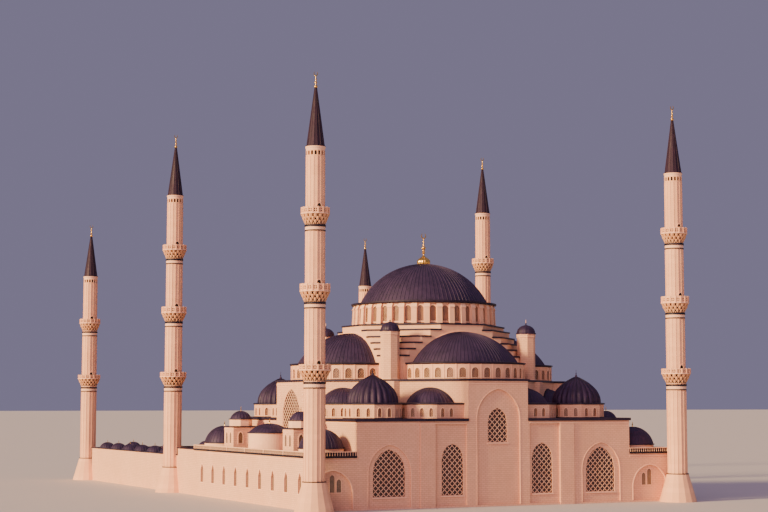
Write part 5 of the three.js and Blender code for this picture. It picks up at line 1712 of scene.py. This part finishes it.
class MOSQUE_OT_galleries(MosquePiece):
    """Add the domes, pavilion roofs, balustrades and arches of the side galleries."""

    bl_idname = "mosque.galleries"
    bl_label = "Side galleries"

    def build(self, sizes):
        corners = [(-HALL_X, HALL_Y), (-WING_X, HALL_Y), (-WING_X, -HALL_Y), (-HALL_X, -HALL_Y)]
        for side, sign in SIDES:
            flip = flipped(-sign, 1)
            roofs = RoofDomes()
            rails, darks, panes = Shape(), Shape(), Shape()
            for y, rim, apex in GALLERY_DOMES:
                dome = (GALLERY_DOME_RADIUS, rim, apex, GALLERY_SEAMS)
                roofs.add_round(flip @ moved(WING_MIDDLE, y), dome, WING_DECK, GALLERY_STYLE)
            for y in PAVILIONS:
                self.add_pavilion(roofs, panes, flip @ moved(WING_MIDDLE, y))
            for start, end in zip(corners, corners[1:]):
                rails.add(balustrade(start, end, WING_DECK + 0.3, WING_PARAPET, sizes.baluster_pitch), flip)
                # The dark parapet backs are painted shade of the gaps between the posts.
                darks.add(parapet_back(start, end, WING_DECK, WING_PARAPET - 0.05), flip)
            # The ledge under the posts is real lead, darkened as painted shade under the rail.
            darks.add(swept(corners, WING_LEDGE), flip)
            roofs.trims.add(swept(corners, WING_STRING), flip)
            self.add_front_end(roofs.trims, panes, flip @ moved(WING_BLIND_MIDDLE, -HALL_Y))
            self.add_windows(roofs.trims, panes, flip @ moved(-WING_X, 0) @ turned_by(-QUARTER))
            sheets = (roofs.spots, GALLERY_SEAMS)
            piece(f"{side}_gallery_domes", roofs.leads, "lead_sheet", (), True, sheets)
            piece(f"{side}_gallery_edges", roofs.edges, "lead_edge")
            piece(f"{side}_gallery_trims", roofs.trims, "pale_stone")
            piece(f"{side}_gallery_rails", rails, "lattice_stone")
            # Near-black parapet backs and ledge: painted shade of the balustrade's gaps.
            piece(f"{side}_gallery_parapet_backs", darks, "dark_band")
            piece(f"{side}_gallery_panes", panes, "window_pane")
            piece(f"{side}_gallery_spikes", roofs.gilt, "gilt", (), True)

    def add_pavilion(self, roofs, panes, place):
        half = PAVILION_HALF
        lip = half + PAVILION_LIP
        roofs.edges.add(block(-lip, lip, -lip, lip, *PAVILION_EAVES), place)
        roofs.trims.add(ring(0, PAVILION_DRUM, PAVILION_TOP, PAVILION_RIM, PAVILION_SIDES), place)
        roofs.edges.add(ring(*PAVILION_RING, PAVILION_SIDES), place)
        roofs.add(place, PAVILION_DOME, PAVILION_RIM, PAVILION_APEX, PAVILION_SEAMS, steps=8)
        roofs.gilt.add(spike(PAVILION_APEX, *PAVILION_SPIKE), place)
        for _, turn in WAYS:
            face = place @ turned_by(turn) @ moved(y=-half)
            for offset in PAVILION_WINDOW_OFFSETS:
                hole = window_arch(PAVILION_WINDOW, offset)
                pane = window_arch(PAVILION_WINDOW, offset, grow=0.02)
                outline = window_arch(PAVILION_FRAME, offset)
                roofs.trims.add(upright(outline, *PAVILION_FRAME_DEPTHS, [hole]), face)
                panes.add(upright(pane, *PAVILION_PANE_DEPTHS), face)
            roofs.trims.add(swept([(-half, 0), (half, 0)], PAVILION_STRING), face)

    def add_front_end(self, trims, panes, face):
        """The blind arch on a gallery's front end, with its slit windows."""
        outline = arch(0, *WING_BLIND, WING_BLIND_STEPS)
        trims.add(arch_bar(outline[1:], width=0.26, depth=0.24), face)
        for offset, window in WING_SLITS.items():
            pane, hole, outline = (window_arch(window, offset, grow, steps=4) for grow in SLIT_GROWTH)
            panes.add(upright(pane, *SLIT_PANE_DEPTHS), face)
            trims.add(upright(outline, *SLIT_FRAME_DEPTHS, [hole]), face)

    def add_windows(self, trims, panes, face):
        for index in range(WING_WINDOW_COUNT):
            offset = (index - (WING_WINDOW_COUNT - 1) / 2) * WING_WINDOW_PITCH
            windows = (WING_WINDOW_PANE, WING_WINDOW_FRAME, WING_WINDOW_HOLE)
            pane, outline, hole = (window_arch(window, offset, steps=5) for window in windows)
            panes.add(upright(pane, *WING_PANE_DEPTHS), face)
            trims.add(upright(outline, *WING_FRAME_DEPTHS, [hole]), face)


class MOSQUE_OT_forecourt(MosquePiece):
    """Add the small domes and roof edges of the narthex, the arcades and the portal."""

    bl_idname = "mosque.forecourt"
    bl_label = "Forecourt roofs"

    def build(self, sizes):
        inside, near = WING_X - ARCADE_DEPTH, COURT_END - ARCADE_DEPTH
        roofs = self.domes()
        piece("forecourt_domes", roofs.leads, "lead_sheet", (), True, (roofs.spots, COURT_SHEETS))
        narthex = [(WING_X, HALL_Y), (WING_X, NARTHEX_END), (-WING_X, NARTHEX_END), (-WING_X, HALL_Y)]
        court = [(WING_X, NARTHEX_END), (WING_X, COURT_END), (-WING_X, COURT_END), (-WING_X, NARTHEX_END)]
        cloister = [(-inside, NARTHEX_END), (-inside, near), (inside, near), (inside, NARTHEX_END)]
        porch = rectangle(-PORTAL_HALF, near, PORTAL_HALF, COURT_END + PORTAL_PROUD)
        runs = [(narthex, WING_DECK), (court, ARCADE_PARAPET), (cloister, ARCADE_DECK), (porch, PORTAL_TOP)]
        for path, level in runs:
            lip = [(out, level + z) for out, z in ROOF_LIP]
            roofs.edges.add(swept(path, lip, closed=path is porch))
        piece("forecourt_edges", roofs.edges, "lead_edge")
        piece("forecourt_drums", roofs.trims, "pale_stone")
        piece("forecourt_spikes", roofs.gilt, "gilt", (), True)
        gap, edge, eave = DECK_GAP, DECK_EDGE, DECK_EAVE
        outside, rear = WING_X - edge, COURT_END - edge
        plans = [
            (inside + eave, outside, NARTHEX_END + gap, rear, ARCADE_DECK),
            (PORTAL_HALF + gap, inside + eave, near + eave, rear, ARCADE_DECK),
            (HALL_X + gap, outside, edge - HALL_Y, HALL_Y - edge, WING_DECK),
        ]
        decks = block(-outside, outside, HALL_Y + gap, NARTHEX_END - edge, WING_DECK, WING_DECK + DECK_LEAD)
        for _, sign in SIDES:
            for *plan, level in plans:
                decks.add(block(*plan, level, level + DECK_LEAD), flipped(sign, 1))
        piece("low_decks", decks, "lead_plain")

    def domes(self):
        roofs = RoofDomes()
        for index in range(COURT_BAYS):
            place = moved((index - (COURT_BAYS - 1) / 2) * NARTHEX_PITCH, (HALL_Y + NARTHEX_END) / 2)
            roofs.add_round(place, NARTHEX_DOME, WING_DECK, COURT_STYLE)
        bay = (COURT_END - NARTHEX_END) / COURT_BAYS
        rear_bays = 3
        run = (WING_X - ARCADE_DEPTH - PORTAL_HALF) / rear_bays
        for _, sign in SIDES:
            x = sign * (WING_X - ARCADE_DEPTH / 2)
            spots = [(x, COURT_END - (index + 0.5) * bay) for index in range(COURT_BAYS)]
            y = COURT_END - ARCADE_DEPTH / 2
            spots += [(sign * (PORTAL_HALF + (index + 0.5) * run), y) for index in range(rear_bays)]
            for spot in spots:
                roofs.add_round(moved(*spot), ARCADE_DOME, ARCADE_DECK, COURT_STYLE)
        portal_middle = COURT_END + (PORTAL_PROUD - ARCADE_DEPTH) / 2
        roofs.add_round(moved(0, portal_middle), PORTAL_DOME, PORTAL_TOP, COURT_STYLE)
        return roofs


class MOSQUE_OT_minarets(MosquePiece):
    """Add the six minarets: ribbed shafts, carved balconies, dark bands, lead cones and gilt finials."""

    bl_idname = "mosque.minarets"
    bl_label = "Minarets"

    def build(self, sizes):
        for row, y, kind in MINARETS:
            parts = minaret_parts(kind)
            for side, sign in SIDES:
                place = moved(sign * MINARET_X, y)
                name = f"{row}_{side}"
                node = [f"minaret_{name}"]
                placed = {part: form.placed(place) for part, form in parts.items()}
                piece(f"minaret_shaft_{name}", placed["shaft"], "minaret_stone", node)
                # The carving's darker stone is painted shade of its cells.
                piece(f"minaret_carving_{name}", placed["carving"], "carved_stone", node)
                piece(f"minaret_collars_{name}", placed["collars"], "pale_stone", node)
                piece(f"minaret_bands_{name}", placed["bands"], "dark_band")
                # Near-black hollows: painted shade in the slots, doorways and gaps of the carving and
                # parapets.
                piece(f"minaret_hollows_{name}", placed["hollows"], "shadow_stone")
                piece(f"minaret_parapets_{name}", placed["parapets"], "minaret_stone", node)
                cap = [f"minaret_cap_{name}"]
                sheets = ([place.translation[:2]], MINARET_SIDES)
                piece(f"minaret_cone_{name}", placed["cone"], "cone_lead", cap, False, sheets)
                piece(f"minaret_finial_{name}", placed["finial"], "gilt", (), True)


def flared_foot():
    """The foot, an octagon on the ground that becomes sixteen-sided at its neck."""
    octagon_sides = 8
    foot = []
    for side in range(MINARET_SIDES):
        angle = TURN * (side + 0.5) / MINARET_SIDES
        wedge = math.remainder(angle, TURN / octagon_sides)
        reach = FLARE_RADIUS * math.cos(math.pi / octagon_sides) / math.cos(wedge) * 1.03
        foot.append(on_circle(reach, angle, 0.0))
    neck = [(x, y, FLARE_TOP) for x, y in polygon_plan(FLARE_NECK, MINARET_SIDES)]
    return lofted([foot, neck], closed=False)


def bracket(inner, outer, z0, z1, width):
    """One cell of the stalactite carving: a pointed foot that grows up and outwards."""
    middle = (z0 + z1) / 2
    reach = outer - inner
    points = [(0, -inner - 0.02, z0)]
    for sign in (-1, 1):
        points.append((sign * width / 2, -inner - reach * 0.35, middle))
        points.append((sign * width / 2, -outer + 0.08, z1))
        points.append((sign * width / 2, -inner + 0.35, z1))
        points.append((sign * width / 3, -inner + 0.3, middle))
    points.append((0, -inner - reach * 0.62, middle))
    points.append((0, -outer - 0.02, z1 - (z1 - z0) * 0.22))
    points.append((0, -outer - 0.02, z1))
    return hull(points)


def rosette_holes(centre_z, radius):
    """Four curved holes round a boss, which look like a pierced ring."""
    holes = []
    gap = math.radians(14)
    sweep = QUARTER - 2 * gap
    steps = 4
    for quarter in range(4):
        angles = [quarter * QUARTER + gap + sweep * step / steps for step in range(steps + 1)]
        sides = [(radius, angle) for angle in angles]
        sides += [(radius * 0.45, angle) for angle in reversed(angles)]
        holes.append([(reach * math.cos(a), centre_z + reach * math.sin(a)) for reach, a in sides])
    return holes


def minaret_parts(kind):
    sides, turn = MINARET_SIDES, TURN / MINARET_SIDES
    names = ("shaft", "carving", "collars", "bands", "hollows", "parapets", "cone", "finial")
    parts = {name: Shape() for name in names}
    shaft, collars, bands, hollows = (parts[name] for name in ("shaft", "collars", "bands", "hollows"))
    shaft.add(flared_foot())
    bands.add(ring(FLARE_NECK - 0.5, FLARE_NECK + 0.12, FLARE_TOP - 0.08, FLARE_TOP + 0.14, sides))
    radii, balconies = kind["radii"], kind["balconies"]
    cone_foot, cone_top = kind["cone"]
    slots_low, slots_high = (cone_foot + level for level in SLOT_LEVELS)
    levels = [FLARE_TOP] + [top + SHAFT_ABOVE_BALCONY for _, top, _ in balconies] + [slots_low]
    for radius, z0, z1 in zip(radii, levels, levels[1:]):
        shaft.add(ring(0, radius, z0, z1, sides))
        crest = -radius / math.cos(turn / 2) - 0.02
        rib = block(-RIB_HALF, RIB_HALF, crest, -radius + 0.2, z0, z1)
        shaft.add(copies(rib, sides, first=turn / 2, turn=turn))
    last = radii[-1]
    slot = arch(0, SLOT_HALF, slots_low + 0.35, slots_high - 0.45, slots_high - 0.2, steps=3)
    plans = [polygon_plan(radius, sides) for radius in (last, last - 0.3)]
    shaft.add(wall_run(*plans, slots_low, slots_high, [[slot]] * sides))
    # A near-black core behind the slots: painted shade.
    hollows.add(ring(0, last - 0.33, slots_low, slots_high, sides))
    cornice = [(0, slots_high), (last, slots_high), (last, cone_foot - 0.6), (last + 0.15, cone_foot - 0.25)]
    cornice += [(last + 0.15, cone_foot), (0, cone_foot)]
    collars.add(turned(cornice, 2 * sides))
    for level, (foot, top, radius) in enumerate(balconies):
        add_balcony(parts, radii[level], foot, top, radius)
        add_balcony_door(hollows, collars, top, moved(y=-radii[level + 1]))
    for (upper, lower), radius in zip(kind["bands"], radii):
        inside = radius - BAND_INSET
        for height, (reach, half) in ((upper, WIDE_BAND), (lower, NARROW_BAND)):
            bands.add(ring(inside, radius + reach, height - half, height + half, 2 * sides))
        low, high = lower + NARROW_BAND[1], upper - WIDE_BAND[1]
        collars.add(ring(inside, radius + COLLAR_REACH, low, high, 2 * sides))
    parts["cone"] = cone(cone_foot, cone_top)
    parts["finial"] = finial_stem(cone_top - 0.15, MINARET_BALLS, kind["top"], sides=12, lap=0.05, thick=0.14)
    return parts


def cone(foot, top):
    shares = [step / CONE_STEPS for step in range(CONE_STEPS + 1)]
    slope, rise = CONE_TIP - CONE_BASE, top - foot
    section = [(CONE_BASE + slope * share, foot + rise * share) for share in shares]
    section.append((0.0, top + 0.02))
    rim = turned([(radius, foot + above) for radius, above in CONE_RIM], 2 * MINARET_SIDES)
    return seamed_dome(section, MINARET_SIDES, **CONE_SHEETS).add(rim)


def add_balcony_door(hollows, collars, top, face):
    foot, spring, apex = (top + above for above in (DOOR_FOOT, DOOR_SPRING, DOOR_APEX))
    opening = arch(0, DOOR_HALF, foot, spring, apex, steps=5)
    outline = arch(0, DOOR_HALF + 0.18, foot - 0.02, spring, apex + 0.2, steps=5)
    # A near-black door opening: painted shade of the doorway.
    hollows.add(upright(opening, *DOOR_DEPTHS), face)
    collars.add(upright(outline, *DOOR_FRAME_DEPTHS, [opening]), face)


def add_balcony(parts, inner, foot, top, outer):
    """Three tiers of carving under a slab, with a pierced parapet on it."""
    sides, turn = MINARET_SIDES, TURN / MINARET_SIDES
    slab = foot + SLAB_ABOVE_FOOT
    floor = slab + SLAB_THICK
    reach = outer - inner
    # A near-black core within the carving: painted shade in the gaps between its cells.
    core = [(0, foot), (inner, foot), (inner + reach * 0.2, foot + 1.0)]
    core += [(inner + reach * 0.55, slab), (0, slab)]
    parts["hollows"].add(turned(core, 2 * sides))
    tiers = [
        (inner, inner + reach * 0.34, foot - 0.1, foot + 0.95, 0.62, 0.0),
        (inner + reach * 0.22, inner + reach * 0.7, foot + 0.6, foot + 1.75, 0.74, 0.5),
        (inner + reach * 0.5, outer - 0.1, foot + 1.35, slab, 0.86, 0.0),
    ]
    for low_reach, high_reach, z0, z1, width, shift in tiers:
        cell = bracket(low_reach, high_reach, z0, z1, width)
        parts["carving"].add(copies(cell, sides, first=shift * turn, turn=turn))
    rail_foot = top - PARAPET_RAIL
    parts["collars"].add(ring(inner - BAND_INSET, outer + SLAB_LIP, slab, floor, sides))
    parts["collars"].add(ring(outer - 0.42, outer + 0.02, rail_foot, top, sides))
    holes = rosette_holes((floor + top) / 2 - 0.05, ROSETTE_RADIUS)
    faces = [polygon_plan(outer - inset, sides) for inset in PARAPET_INSETS]
    parts["parapets"].add(wall_run(*faces, floor, rail_foot, [holes] * sides))
    # A near-black ring behind the parapet's holes: painted shade.
    parts["hollows"].add(ring(outer - 0.4, outer - 0.33, floor, top - 0.2, sides))
    half, front = PARAPET_POST_HALF, -outer / math.cos(turn / 2) + 0.02
    post = block(-half, half, front, -outer + 0.35, floor, top + 0.06)
    parts["parapets"].add(copies(post, sides, first=turn / 2, turn=turn))


# Panel and registration

PIECES = [
    MOSQUE_OT_stage,
    MOSQUE_OT_plain_finishes,
    MOSQUE_OT_main_dome,
    MOSQUE_OT_main_drum,
    MOSQUE_OT_great_arches,
    MOSQUE_OT_half_domes,
    MOSQUE_OT_weight_towers,
    MOSQUE_OT_diagonal_walls,
    MOSQUE_OT_corner_roofs,
    MOSQUE_OT_hall_walls,
    MOSQUE_OT_galleries,
    MOSQUE_OT_forecourt,
    MOSQUE_OT_minarets,
]


class MOSQUE_PT_panel(bpy.types.Panel):
    """Lists the settings and the pieces of the mosque."""

    bl_label = "Domed mosque"
    bl_idname = "MOSQUE_PT_panel"
    bl_space_type = "VIEW_3D"
    bl_region_type = "UI"
    bl_category = "Mosque"

    def draw(self, context):
        layout = self.layout
        for settings in (context.scene.mosque_sizes, context.scene.mosque_colours):
            for name in settings.bl_rna.properties.keys():
                if name not in ("rna_type", "name"):
                    layout.prop(settings, name)
        for operator in PIECES:
            layout.operator(operator.bl_idname)


CLASSES = [MosqueSizes, MosqueColours, *PIECES, MOSQUE_PT_panel]


def register():
    for item in CLASSES:
        bpy.utils.register_class(item)
    bpy.types.Scene.mosque_sizes = bpy.props.PointerProperty(type=MosqueSizes)
    bpy.types.Scene.mosque_colours = bpy.props.PointerProperty(type=MosqueColours)


def unregister():
    del bpy.types.Scene.mosque_colours
    del bpy.types.Scene.mosque_sizes
    for item in reversed(CLASSES):
        bpy.utils.unregister_class(item)


def main():
    register()
    for operator in PIECES:
        group_name, call = operator.bl_idname.split(".")
        getattr(getattr(bpy.ops, group_name), call)()


if __name__ == "__main__":
    main()
